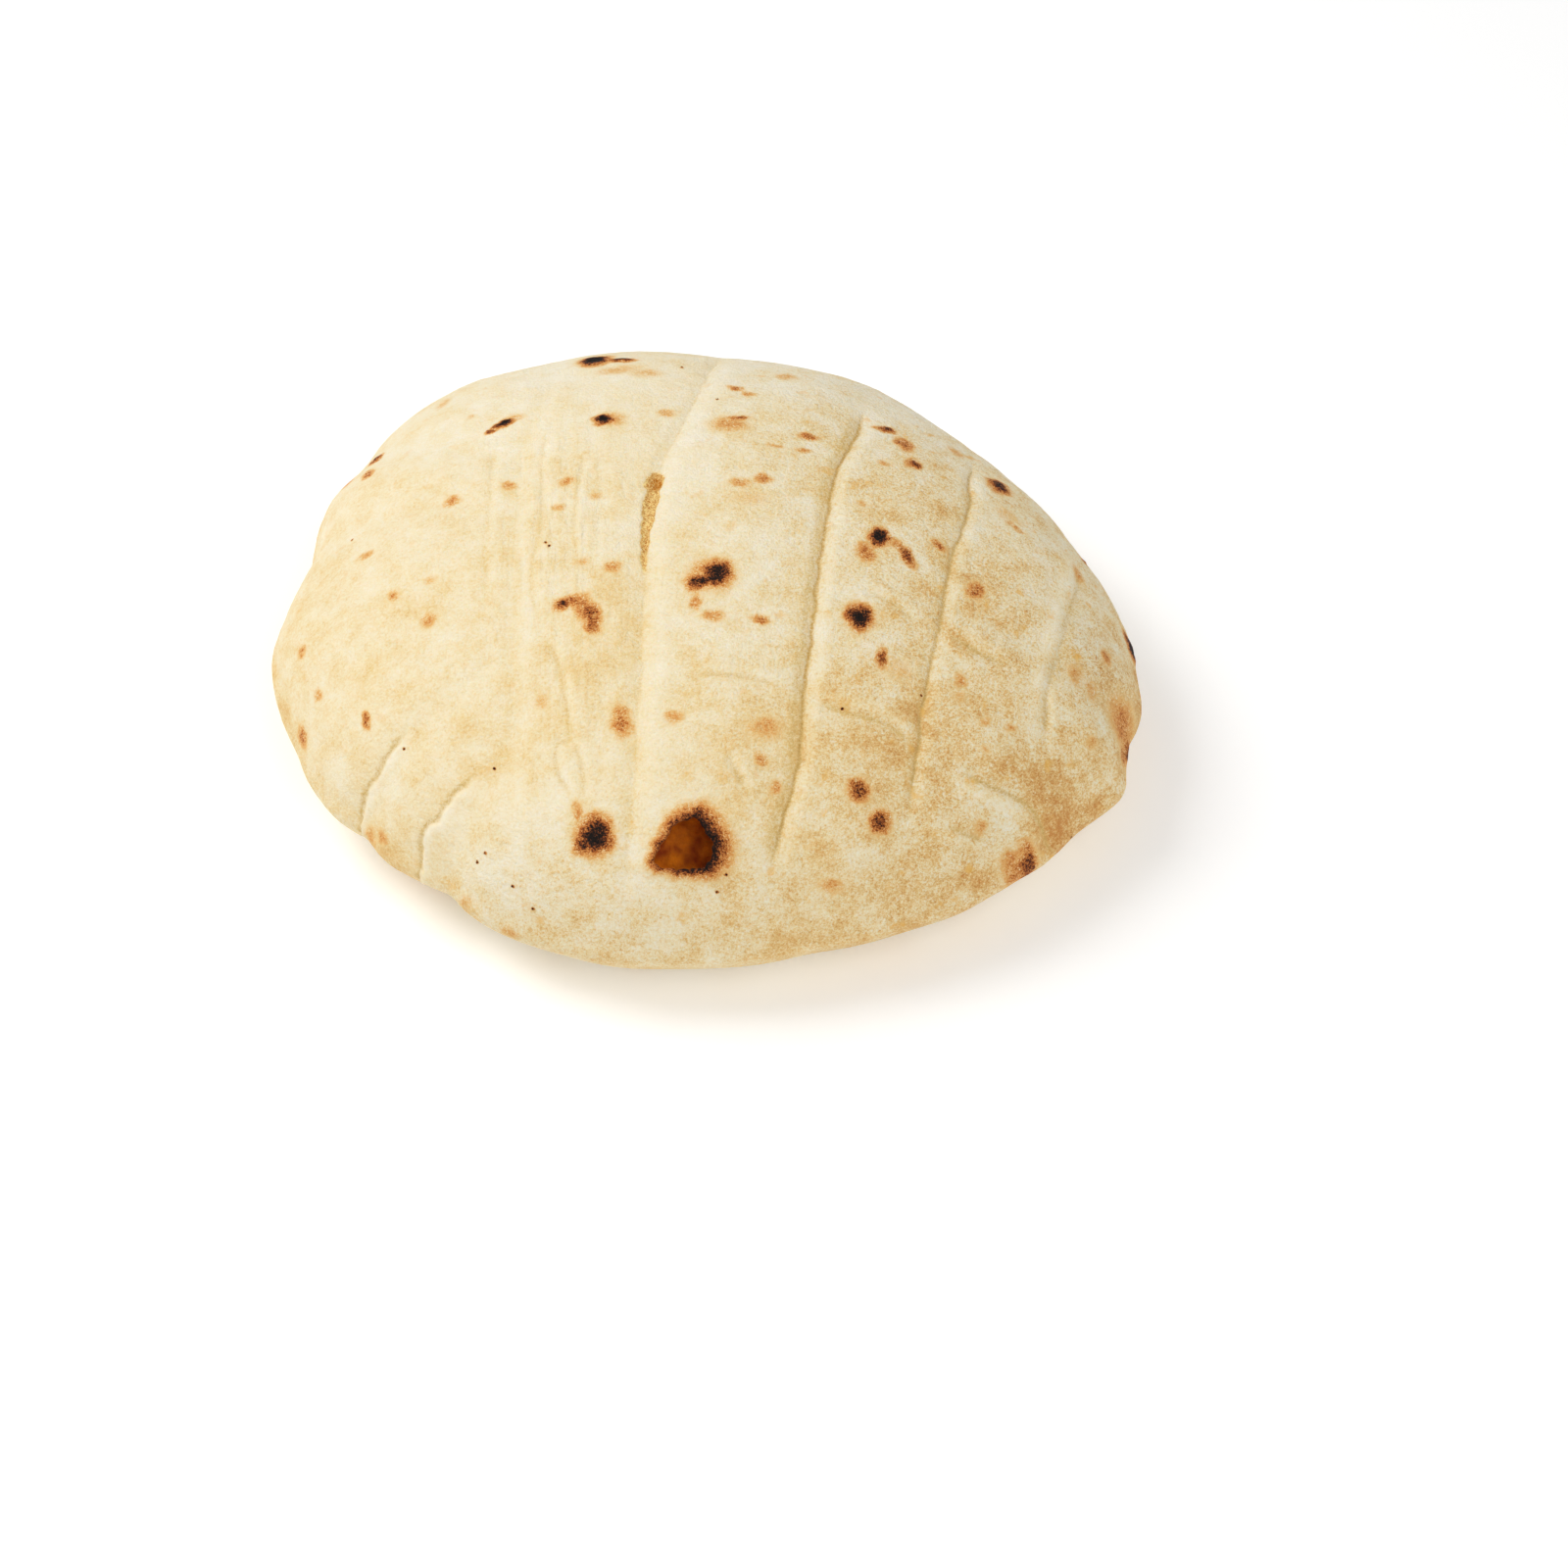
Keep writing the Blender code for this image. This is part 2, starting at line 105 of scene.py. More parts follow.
SCORES = {
    "left": Score(
        ((-38, 70), (-45, 40), (-47, 0), (-47, -45), (-49, -84)),
        depth=0.2, half_width=2.6, cut=0.1, lip=0.12, lip_half_width=2.2, line_amber=0.1, slope_shade=0.1,
    ),
    "middle": Score(
        ((6, 86), (0, 60), (-5, 42), (-10, 24), (-14, 1), (-15, -17), (-16, -38), (-18, -68), (-21, -96)),
        depth=0.42, half_width=2.4, cut=0.14, lip=0.26, lip_half_width=3.3, line_amber=0.24, slope_shade=0.16,
    ),
    "right of middle": Score(
        ((43, 57), (38, 36), (33, 21), (30, 1), (26, -26), (23, -51), (20, -71), (13, -93)),
        depth=0.42, half_width=2.2, cut=0.34, lip=0.26, lip_half_width=1.9, line_amber=0.6, slope_shade=0.34,
    ),
    "right": Score(
        ((70, 42), (68, 29), (66, 12), (61, -6), (57, -25), (52, -49), (49, -68), (47, -80)),
        depth=0.26, half_width=1.8, cut=0.3, lip=0.18, lip_half_width=1.6, line_amber=0.5, slope_shade=0.18,
    ),
    "far right": Score(
        ((82, -50), (82.4, -45), (83.5, -37), (86, -28), (89, -17), (93, -4), (95, 12)),
        depth=0.36, half_width=1.7, cut=0.24, lip=0.32, lip_half_width=2.6, line_amber=0.36, slope_shade=0.24,
    ),
}
SCORE_FADE = 14 * MM
SCORE_CUT_HALF_WIDTH = 0.6 * MM
SCORE_VARIATION = 0.35  # the share by which their depth varies along them
SCORE_VARIATION_SIZE = 14 * MM
STRIP_RISE = 1.0 * MM
SCORE_WANDER = 0.7 * MM  # how far the lines stray from their places, in lumps of these two sizes
WANDER_SIZE = 16 * MM
FINE_WANDER_SIZE = 4 * MM
FINE_WANDER = 0.35 * SCORE_WANDER
FOLD_STRAY = 3.2  # of the fine wander

# Folds where the skin laps over itself: points in plan, from the dome to the rim, and the height of the lap
FOLDS = {
    "outer": (((-72, -47), (-75, -49.5), (-78, -52), (-81, -54), (-84, -56), (-86, -59)), 0.8 * MM),
    "inner": (
        (
            (-55, -62), (-59, -64.5), (-62.5, -66), (-65, -68.5),
            (-68, -69), (-70, -70.5), (-70, -72.5), (-71.5, -74.5),
        ),
        1.0 * MM,
    ),
}
FOLD_WIDTH = 1.3 * MM
FOLD_NIP = 0.2
FOLD_REACH = 8 * MM
FOLD_FADE = 6 * MM

# Shallow wrinkles: points in plan, depth, half width
WRINKLES = (
    (((-5, -46), (6, -46), (20, -49)), 0.5 * MM, 1.0 * MM),
    (((24, -52), (32, -55), (42, -57), (51, -62)), 0.6 * MM, 1.5 * MM),
    (
        ((86, -70.5), (82, -70.6), (79.6, -69.2), (76.4, -67.6), (69.6, -67.2), (64.2, -66.4), (58, -64.6)),
        0.7 * MM,
        1.4 * MM,
    ),
    (((82.5, -38), (82, -44), (81.8, -49), (80.8, -55)), 0.6 * MM, 0.9 * MM),
    (((57, -30), (65, -35), (75, -38)), 0.7 * MM, 1.5 * MM),
    (((4, -64), (6, -70), (10, -77)), 0.6 * MM, 1.0 * MM),
    (((36, -18), (46, -24), (53, -30)), 0.45 * MM, 1.1 * MM),
    (((68.5, -77), (61.9, -77.6), (57.5, -77.4), (54, -79.2)), 0.6 * MM, 1.0 * MM),
    (((-40, 42), (-41, 27), (-40, 7), (-43, -10), (-41, -27)), 0.35 * MM, 1.2 * MM),
    (((-39, -30), (-35, -44), (-33.6, -59.4), (-36.5, -61), (-35.8, -68), (-31.6, -76)), 0.45 * MM, 1.1 * MM),
    (((-34, -59), (-31.4, -63), (-29.6, -71), (-30.5, -76)), 0.45 * MM, 1.0 * MM),
    (((-53, 40), (-54, 10), (-54, -20)), 0.28 * MM, 1.1 * MM),
    (((-30, 30), (-32, 5), (-31, -12)), 0.35 * MM, 0.9 * MM),
)

# Swells and dips of the dome: place in plan, height, half width
SWELLS = (
    ((-70, 10), 1.0 * MM, 30 * MM),
    ((-15, -78), 1.4 * MM, 20 * MM),
    ((52, -74), -1.3 * MM, 16 * MM),
    ((92, -30), 1.6 * MM, 13 * MM),
    ((60, 30), 0.9 * MM, 22 * MM),
    ((-75, 66), -1.0 * MM, 18 * MM),
)

# The burst blister. Round its opening, every 30 degrees: how far out the edge is, and how hot and wide the
# charred ring is. Then the pocket, as steps from the lip to the middle of its floor
BURST_PLACE = (-7, -86)
BURST_REACH = np.array((7.3, 6.6, 7.1, 5.7, 4.7, 4.0, 5.3, 7.4, 5.9, 5.2, 6.1, 7.5)) * MM
RING_HEAT = np.array((1.06, 1.04, 0.96, 0.82, 0.78, 0.72, 0.76, 0.72, 0.74, 0.92, 1.0, 1.06))
RING_WIDTH = np.array((4.2, 4.1, 3.7, 3.2, 2.6, 2.4, 2.3, 2.2, 2.0, 2.1, 2.7, 3.7)) * MM
BURST_RIM_RISE = 0.8 * MM
BURST_RIM_HALF_WIDTH = 3.2 * MM
RING_LUMP_RISE = 0.7 * MM
RING_LUMP_SIZE = 1.8 * MM
POCKET_SHARE = (0.0, 0.05, 0.1, 0.3, 0.45, 0.6, 1.0)  # how far in from the opening's edge, of its reach
POCKET_DROP = np.array((0.0, 0.7, 1.8, 5.2, 8.6, 10.2, 11.0)) * MM
POCKET_SPREAD = (1.0, 0.98, 0.97, 1.1, 1.2, 1.0, 0.0)

# The gash where the middle score tore open: a wedge that narrows to the front, from the score's far end on
GASH_START = 70 * MM
GASH_END = 110 * MM
GASH_HALF_WIDTH = 3.0 * MM
GASH_TAPER = 0.82  # how much narrower its front end is
GASH_SHIFT = 0.6 * MM  # how far its middle lies left of the score
GASH_DEPTH = 0.8 * MM
GASH_HOLLOW = 2.6 * MM  # half the length of the deeper spot at its far end

# Scorch marks: place in plan, half sizes across and along in millimetres, turn in degrees, heat (1 is black)
MARKS = (
    (-28, 79, 3.6, 4.4, 0, 1.25),
    (-21, 77, 4.1, 1.6, -12, 0.9),
    (-22, 70, 6.4, 3.7, 0, 0.3),
    (-14, 67, 5.5, 3.2, 0, 0.29),
    (-51, 48, 2.7, 1.3, 22, 1.2),
    (-48.5, 50, 3.2, 2.2, 10, 0.32),
    (-54.5, 45.5, 1.4, 0.8, 20, 0.9),
    (-25, 43, 2.3, 2.0, 0, 1.25),
    (-22, 43, 3.3, 3.7, 0, 0.36),
    (-87, 45, 1.8, 3.0, 30, 0.6),
    (-86, 55, 2.2, 2.2, 0, 0.74),
    (-68, 71, 2.8, 4.6, 0, 0.29),
    (-60, 55, 1.7, 1.5, 0, 0.3),
    (-27.2, -82.6, 3.8, 4.2, 0, 1.1),
    (-30.6, -84, 2.2, 1.9, 10, 0.85),
    (-31, -77.5, 1.6, 3.0, 15, 0.4),
    (-35.2, -23.0, 1.9, 1.9, 0, 0.78),
    (-32.4, -21.6, 2.4, 1.9, 15, 0.6),
    (-30, -22.6, 2.8, 2.8, -20, 0.54),
    (-28.6, -26.2, 2.8, 3.4, 15, 0.7),
    (-27.6, -29.4, 2.2, 3.2, 10, 0.72),
    (2.8, -15.8, 3.7, 3.9, 0, 1.06),
    (-1.8, -18.2, 3.2, 2.4, 5, 0.98),
    (1.6, -16, 6.2, 6.2, 0, 0.45),
    (-2.5, -24.5, 1.6, 3.1, 0, 0.47),
    (1.5, -29, 3.1, 2, 0, 0.45),
    (13, -30, 2.4, 1.8, -5, 0.59),
    (37, -28.5, 2.8, 3.6, 0, 1.16),
    (42, -40, 1.2, 2.8, 0, 0.78),
    (46, -43, 4.2, 4.6, 0, 0.26),
    (43, -2, 2.3, 2.8, 0, 1.15),
    (39.5, -7.5, 2.4, 3.5, 20, 0.57),
    (47, -4, 2.2, 2.2, 0, 0.47),
    (49.5, -7.5, 1.7, 3.8, 25, 0.8),
    (58, -2, 2.4, 1.5, -25, 0.59),
    (75, 29, 3.2, 3.6, -25, 0.95),
    (78, 11, 2.8, 1, -35, 0.55),
    (76, 16, 3.7, 3.7, 0, 0.26),
    (66, -16, 2.5, 2.9, 0, 0.59),
    (47, 44, 2.7, 1.4, -12, 0.85),
    (51, 37, 2.4, 4, 20, 0.61),
    (53, 28, 2, 2.2, -15, 0.8),
    (46, 27, 2, 1.3, 0, 0.38),
    (39, 10, 2, 1.5, -10, 0.38),
    (65, 42, 2.8, 3.3, 0, 0.33),
    (35, -73, 2.7, 2.8, 0, 0.8),
    (40, -79, 2.7, 2.8, 0, 0.88),
    (76.6, -76.2, 2.6, 3.2, 0, 0.8),
    (73, -78.4, 3.6, 2.6, 0, 0.52),
    (-21, -57, 2.5, 4.6, 3, 0.55),
    (-68, -20, 2.3, 2.4, 0, 0.45),
    (-83, -42, 1.3, 2.4, -8, 0.61),
    (102.4, -35.4, 8.6, 6.6, 0, 0.5),
    (104.6, -41, 2.2, 3.0, 0, 0.9),
    (98.6, -23.7, 2.2, 2.9, 0, 0.5),
    (105, -41, 2, 4.5, 0, 1.3),
    (108, -6, 2.2, 3.2, 0, 1.2),
    (94, 3, 2.2, 3.9, 0, 0.4),
    (89.4, -33.4, 3.0, 4.4, 0, 0.33),
    (89.2, -34, 1.2, 2.0, 0, 0.42),
    (93.6, -35.6, 2.6, 3.4, 0, 0.37),
    (102, -43, 2.2, 3.2, 0, 0.55),
    (97, 15, 1.3, 1.3, 0, 0.85),
    (7, 40, 5.5, 3.7, -5, 0.4),
    (9, 43, 3.1, 1.3, 0, 0.61),
    (9, 58, 2.2, 1.5, -20, 0.57),
    (12, 55, 1.8, 1.3, 0, 0.45),
    (22, 67, 3.1, 2.8, 0, 0.36),
    (27, 36, 2.8, 1.3, -10, 0.61),
    (25, 30, 2.8, 1.3, -5, 0.45),
    (18, 31, 2.4, 1.1, -5, 0.4),
    (9, 16, 3.1, 2, 0, 0.4),
    (15, 17.5, 2.4, 1.7, -10, 0.57),
    (12, 10, 6.4, 3.7, 0, 0.24),
    (-49, 21, 2.2, 1.7, 0, 0.45),
    (-63, 19, 2.6, 2, 0, 0.45),
    (-85, 8, 2.6, 1.7, 0, 0.45),
    (-77, -10, 1.8, 1.7, 0, 0.45),
    (-68, -8, 2.2, 2, 0, 0.3),
    (-101, -13, 1.7, 2.2, 0, 0.45),
    (-96, -28, 2, 2, 0, 0.42),
    (-101, -32, 2.4, 3.1, 0, 0.57),
    (-34, 19, 2.2, 1.8, 20, 0.45),
    (-27, 13, 2.4, 1.5, 0, 0.32),
    (-36, 10, 2.2, 1.7, 0, 0.36),
    (-22.5, -12, 2, 2.2, 0, 0.43),
    (-30, -9.5, 1.8, 1.7, 0, 0.3),
    (-9, 46, 2.8, 2.2, 0, 0.36),
    (-40, -49, 2, 2.6, 0, 0.3),
    (-8, -57, 2.4, 2.2, 10, 0.4),
    (13, -60, 4.8, 3.1, -10, 0.36),
    (14, -58, 2.2, 1.7, -10, 0.45),
    (12, -67.5, 2, 2.2, 0, 0.45),
    (15.5, -73.5, 1.7, 1.8, 0, 0.47),
    (61, -43.5, 1.8, 2.2, 0, 0.43),
    (60.5, -48, 1.7, 2.4, 0, 0.33),
    (64.6, -75.4, 1.8, 2.4, 0, 0.42),
    (66.2, -52.7, 1.7, 1.9, 0, 0.36),
    (72.6, -52.7, 1.6, 1.5, 0, 0.36),
    (66, -59.4, 1.3, 1.3, 0, 0.34),
    (93.2, -49.5, 1.9, 1.9, 0, 0.42),
    (28, -91, 3.7, 2.2, 0, 0.4),
    (-79.5, -64.5, 2, 2, 0, 0.42),
    (-83.5, -62.5, 2, 2.8, 0, 0.47),
    (-48.5, -91, 2.8, 2.2, 0, 0.36),
    (-61, -84, 3.7, 2.4, 0, 0.33),
    (4, 97, 2.4, 3.0, 0, 0.6),
    (9, 99, 1.8, 2.0, 0, 0.9),
    (34, 91, 3.6, 3.0, 10, 0.42),
    (50, 82, 2.2, 2.8, -20, 0.7),
    (72, 66, 2.8, 2.2, 0, 0.5),
    (88, 45, 2.4, 3.4, 0, 0.62),
    (-48, 94, 2.0, 2.4, 0, 0.55),
    (-57, 91, 3.0, 4.2, 0, 0.4),
    (-93, 50, 2.4, 3.0, 0, 0.5),
    (-13, 98, 4.0, 2.6, 0, 0.36),
)
SPECKS = (
    (-39.1, -2.4),
    (-38.2, -3.6),
    (-89.2, 18.1),
    (-73.5, -51.5),
    (-51.5, -62.5),
    (-56.1, -80.1),
    (-54.0, -79.6),
    (-47.4, -87.2),
    (-42.6, -91.4),
    (3.2, -91.2),
    (1.0, -94.0),
    (31.9, -54.2),
    (51.2, -48.6),
    (88.0, -66.0),
    (-5.0, 71.0),
    (4.0, 52.0),
)
SPECK_RADIUS = 0.34 * MM
MARK_FALL = 0.9
MARK_FALL_POWER = 2.4
MARK_WARP = 0.9 * MM  # how far the marks' outlines stray
MARK_WARP_SIZE = 3.2 * MM
MARK_WARP_SHIFTS = (21, 27, 33)
MARK_GLOW = 0.16  # the share of a mark's heat that is its golden halo
MARK_GLOW_REACH = 1.9  # of the mark's half size
SPECK_HEAT = 1.5
BLISTER_RISE = 0.35 * MM
CHAR_SINK = 0.45 * MM
CHAR_LUMP_RISE = 0.22 * MM
CHAR_LUMP_SIZE = 1.3 * MM

# Broad toasting: place in plan, amount, half width
TOASTS = (
    ((110, -25), 0.16, 26 * MM),
    ((98, 25), 0.02, 26 * MM),
    ((85, -62), 0.12, 24 * MM),
    ((70, 45), 0.04, 26 * MM),
    ((62, -18), 0.14, 26 * MM),
    ((45, -86), 0.16, 26 * MM),
    ((36, -64), 0.26, 17 * MM),
    ((60, -54), 0.14, 18 * MM),
    ((50, 14), 0.2, 13 * MM),
    ((82, -68.5), 0.48, 7 * MM),
    ((80, -63), 0.24, 6 * MM),
    ((87, -65), 0.32, 6.5 * MM),
    ((72, -63), 0.16, 5 * MM),
    ((73, -72.5), -0.26, 5 * MM),
    ((78, -75), -0.2, 4 * MM),
    ((67, -70.5), -0.16, 4.5 * MM),
    ((62, -82), 0.22, 6.5 * MM),
    ((20, 82), -0.2, 30 * MM),
    ((-40, 84), -0.12, 30 * MM),
    ((58, 62), -0.24, 18 * MM),
    ((-60, 60), -0.18, 32 * MM),
    ((0, 42), -0.14, 26 * MM),
    ((92, -35), 0.12, 6 * MM),
    ((-30, -42), 0.12, 9 * MM),
    ((102, -37), 0.3, 6 * MM),
    ((66, 24), -0.16, 12 * MM),
    ((12, -8), -0.12, 12 * MM),
    ((-21, -2), -0.14, 8 * MM),
    ((73, -10), 0.08, 11 * MM),
    ((12, -62), 0.05, 10 * MM),
    ((33, -50), 0.12, 11 * MM),
    ((10, 38), 0.14, 10 * MM),
    ((12, 12), 0.12, 9 * MM),
    ((-66, 78), 0.08, 22 * MM),
    ((-108, -10), 0.08, 16 * MM),
    ((-79, -68), 0.2, 10 * MM),
    ((-48, -80), -0.16, 17 * MM),
)

RIM_TOAST = 0.14
RIM_TOAST_HALF_HEIGHT = 7 * MM
CRINKLED = (93, -28)  # the grainiest, most crinkled skin, right of the last score
CRINKLED_HALF_WIDTH = 13 * MM

# Unevenness all over the skin: height, size and octaves of its lumps. Pleats run along the bread
LUMPS = (
    (0.35 * MM, 26 * MM, 2),
    (0.16 * MM, 7 * MM, 3),
    (0.07 * MM, 2.4 * MM, 2),
)
PLEAT_HEIGHT = 0.45 * MM
PLEAT_SIZE = 5 * MM
PLEAT_STRETCH = (1, 7, 7)

# The mesh: squares along each side of the cube it starts from, and the polar angles of the rim and the base
GRID = 88
RIM_POLAR = math.radians(118)
BASE_POLAR = math.radians(152)
DOME_TURNS = np.linspace(0, math.pi / 2, 600)

# Screen colours: the crust from pale to toasted, and a burn from its halo to black
CRUST_COLOURS = (
    (0.0, (250, 240, 216)),
    (0.3, (246, 229, 189)),
    (0.5, (240, 212, 154)),
    (0.72, (228, 182, 112)),
    (1.0, (208, 142, 74)),
)
BURN_COLOURS = (
    (0.12, (244, 216, 158)),
    (0.28, (236, 188, 116)),
    (0.46, (220, 146, 74)),
    (0.66, (180, 94, 38)),
    (0.82, (98, 52, 26)),
    (0.98, (28, 18, 10)),
)
# The grooves' amber, from light to dark; it also colours the painted shade on the scores' slopes and in the
# wrinkles
GROOVE_PALE = (236, 206, 134)
GROOVE_DARK = (182, 132, 52)
TORN_PALE = (255, 226, 150)
TORN_DARK = (186, 112, 6)
FRECKLE = (240, 188, 98)
# The crumb in the burst's pocket, from dark to light: its darker colour towards the pocket's edges and on its
# left is painted shade under the overhanging skin
POCKET_DARK = (146, 50, 4)
POCKET_LIGHT = (255, 146, 18)
PLAIN_TONE = 0.33  # where plain crust lies in CRUST_COLOURS

# Sizes of the patterns in the crust's colour and bump
BROAD_SIZE = 34 * MM
PATCH_SIZE = 8 * MM
MOTTLE_SIZE = 2.4 * MM
FINE_SIZE = 0.7 * MM
GRIT_SIZE = 0.34 * MM
KERNEL_SIZE = 1.0 * MM
STREAK_SIZE = 2.2 * MM
FRECKLE_SIZE = 5 * MM
CRUMB_SIZE = 6 * MM
BUMP_DEPTH = 0.45 * MM

# How near a detail the mesh is cut finer, at the first and the second level
LINE_REACH = (5.5 * MM, 2.2 * MM)
LINE_SHARE = (1.0, 0.8)  # of that reach, where no gash is
BURST_REFINED = (15 * MM, 10.5 * MM)
WRINKLE_REACH = 2.6 * MM
GASH_MARGIN = 3 * MM  # beyond the gash's ends
HOT_MARK = 0.6  # marks hotter than this have blisters, so they get the finer mesh

# The photograph's view of the bread
CAMERA_PLACE = (0.0, -649.8 * MM, 708.4 * MM)
CAMERA_AIM = (0.0199, 0.658, -0.7528)
LENS = 85.0
FLOOR_SIZE = 6.0


def smooth_loop(values, place):
    """The closed smooth curve through evenly spaced values, at places counted in steps from the first."""
    step = np.floor(place).astype(int)
    part = place - step
    before, here, after, beyond = (values[(step + k) % len(values)] for k in (-1, 0, 1, 2))
    bend = 2 * before - 5 * here + 4 * after - beyond
    twist = 3 * (here - after) + beyond - before
    return here + 0.5 * part * (after - before + part * (bend + part * twist))


def bump(distance, half_width):
    return np.exp(-((distance / half_width) ** 2))


def ramp(value, width):
    """Rises smoothly from 0 to 1 as value goes from 0 to width."""
    part = np.clip(value / width, 0, 1)
    return part * part * (3 - 2 * part)


def rough(points, size, octaves=3, stretch=(1.0, 1.0, 1.0), shift=0.0):
    """Smooth noise over the points, about -1 to 1, with lumps of the given size."""
    scaled = points / (size * np.array(stretch)) + shift
    return np.array([noise.fractal(Vector(point), 1.0, 2.0, octaves) for point in scaled])


def rim_radius(angle):
    degrees = np.degrees(angle) % 360
    radius = smooth_loop(RIM_RADII, degrees * len(RIM_RADII) / 360)
    for direction, size, half_width in RIM_LUMPS:
        off = (degrees - direction + 180) % 360 - 180
        radius = radius + size * np.exp(-((off / half_width) ** 2))
    return radius


def dome_turn(polar):
    """The dome's own angle for a polar angle of the sphere, so that the mesh is as fine all over the dome."""
    reach = RIM_RADII.mean() * np.sin(DOME_TURNS) ** (2 / DOME_PLUMPNESS)
    step = np.hypot(np.gradient(reach), np.gradient(DOME_RISE * np.cos(DOME_TURNS)))
    area = np.cumsum(reach * step)
    share = (1 - np.cos(np.minimum(polar, RIM_POLAR))) / (1 - math.cos(RIM_POLAR))
    return np.interp(share * area[-1], area, DOME_TURNS)


def body_points(directions):
    """Points of the smooth body, one for each direction from the middle of a unit sphere."""
    angle = np.arctan2(directions[:, 1], directions[:, 0])
    polar = np.arccos(np.clip(directions[:, 2], -1, 1))
    dome = dome_turn(polar)
    curl = np.clip((polar - RIM_POLAR) / (BASE_POLAR - RIM_POLAR), 0, 1) * math.pi / 2
    inward = np.clip((math.pi - polar) / (math.pi - BASE_POLAR), 0, 1)
    on_top = polar <= RIM_POLAR
    reach = np.where(
        on_top, np.sin(dome) ** (2 / DOME_PLUMPNESS), (BASE_SHARE + (1 - BASE_SHARE) * np.cos(curl)) * inward
    )
    height = np.where(on_top, RIM_HEIGHT + DOME_RISE * np.cos(dome), RIM_HEIGHT * (1 - np.sin(curl)))
    pinch = PINCH_REACH * np.exp(-(((height - RIM_HEIGHT) / PINCH_HALF_HEIGHT) ** 2))
    out = reach * (rim_radius(angle) - PINCH_REACH) + pinch
    return np.column_stack([out * np.cos(angle), out * np.sin(angle), height])


def dome_height(x, y):
    reach = np.hypot(x, y) / (rim_radius(np.arctan2(y, x)) - PINCH_REACH)
    return RIM_HEIGHT + DOME_RISE * np.sqrt(np.clip(1 - reach**DOME_PLUMPNESS, 0, 1))


def on_dome(place):
    """The point of the smooth dome over a place given in millimetres."""
    x, y = place[0] * MM, place[1] * MM
    return np.array((x, y, dome_height(np.array(x), np.array(y))))


def dome_axes(place):
    """At a place on the dome: right along the skin, up the slope, and out of it."""
    origin = Vector(on_dome(place))
    right = Vector(on_dome((place[0] + 0.5, place[1]))) - origin
    back = Vector(on_dome((place[0], place[1] + 0.5))) - origin
    out = right.cross(back).normalized()
    right.normalize()
    return np.array(origin), np.array(right), np.array(out.cross(right)), np.array(out)


def skin_path(places, steps=8):
    """A smooth line on the dome through places in plan."""
    plan = np.array(places, float) * MM
    ends = np.vstack([2 * plan[0] - plan[1], plan, 2 * plan[-1] - plan[-2]])
    line = []
    for before, here, after, beyond in zip(ends, ends[1:], ends[2:], ends[3:]):
        for part in np.arange(steps) / steps:
            bend = 2 * before - 5 * here + 4 * after - beyond
            twist = 3 * (here - after) + beyond - before
            line.append(here + 0.5 * part * (after - before + part * (bend + part * twist)))
    line = np.array([*line, plan[-1]])
    return np.column_stack([line, dome_height(line[:, 0], line[:, 1])])


def path_length(path):
    return np.linalg.norm(np.diff(path, axis=0), axis=1).sum()


def beside(path, points, reach=40 * MM, batch=6000):
    """How far each point is from the path, positive to the right of its run, and how far along it lies."""
    off, along = np.full(len(points), 1.0), np.zeros(len(points))
    start, run = path[:-1], np.diff(path, axis=0)
    length = np.linalg.norm(run, axis=1)
    before = np.concatenate([[0], np.cumsum(length)])
    near = np.all((points > path.min(0) - reach) & (points < path.max(0) + reach), axis=1)
    for rows in np.array_split(np.flatnonzero(near), max(1, near.sum() // batch)):
        to_point = points[rows][:, None] - start
        share = np.clip((to_point * run).sum(2) / length**2, 0, 1)
        gap = to_point - share[:, :, None] * run
        distance = np.linalg.norm(gap, axis=2)
        nearest = distance.argmin(1)
        row = np.arange(len(rows))
        gap, ahead = gap[row, nearest], run[nearest]
        side = np.where(gap[:, 0] * ahead[:, 1] - gap[:, 1] * ahead[:, 0] >= 0, 1, -1)
        off[rows] = distance[row, nearest] * side
        along[rows] = before[nearest] + share[row, nearest] * length[nearest]
    return off, along


def run_out(along, path, fade):
    """1 along the path, falling to 0 at both ends."""
    return ramp(along, fade) * ramp(path_length(path) - along, fade)


def burst_polar(points):
    """Each point's distance and direction from the middle of the burst, and the outline's reach there."""
    origin, right, up, out = dome_axes(BURST_PLACE)
    gap = points - origin
    across, rise = gap @ right, gap @ up
    distance = np.hypot(across, rise) + np.abs(gap @ out) * (np.linalg.norm(gap, axis=1) > 20 * MM)
    turn = np.arctan2(rise, across) % (2 * math.pi)
    reach = smooth_loop(BURST_REACH, turn * len(BURST_REACH) / (2 * math.pi))
    reach = reach * (1 + 0.02 * np.sin(7 * turn + 1) + 0.025 * np.sin(13 * turn) + 0.015 * np.sin(23 * turn))
    return distance, turn, reach


class Skin:
    """The fine mesh's points on the smooth body, with their place beside every score, fold and wrinkle."""

    def __init__(self, mesh):
        self.points = body_points(np.array([vert.co for vert in mesh.verts]))
        for vert, point in zip(mesh.verts, self.points):
            vert.co = point
        mesh.normal_update()
        self.normals = np.array([vert.normal for vert in mesh.verts])
        wander = SCORE_WANDER * rough(self.points, WANDER_SIZE)
        fine_wander = FINE_WANDER * rough(self.points, FINE_WANDER_SIZE)
        self.scores = {}
        for name, score in SCORES.items():
            path = skin_path(score.places)
            off, along = beside(path, self.points)
            self.scores[name] = (off + wander + fine_wander, along, path)
        self.folds = {}
        for name, (places, _) in FOLDS.items():
            path = skin_path(places)
            off, along = beside(path, self.points)
            self.folds[name] = (off + FOLD_STRAY * fine_wander, along, path)
        self.wrinkles = []
        for places, *_ in WRINKLES:
            path = skin_path(places)
            off, along = beside(path, self.points)
            self.wrinkles.append((off + wander, along, path))
        self.top = ramp(self.points[:, 2] - RELIEF_START, RELIEF_FADE)
        self.burst_distance, self.burst_turn, self.burst_reach = burst_polar(self.points)

    def beside_burst(self):
        """How far each point lies outside the burst's outline, negative inside."""
        return self.burst_distance - self.burst_reach


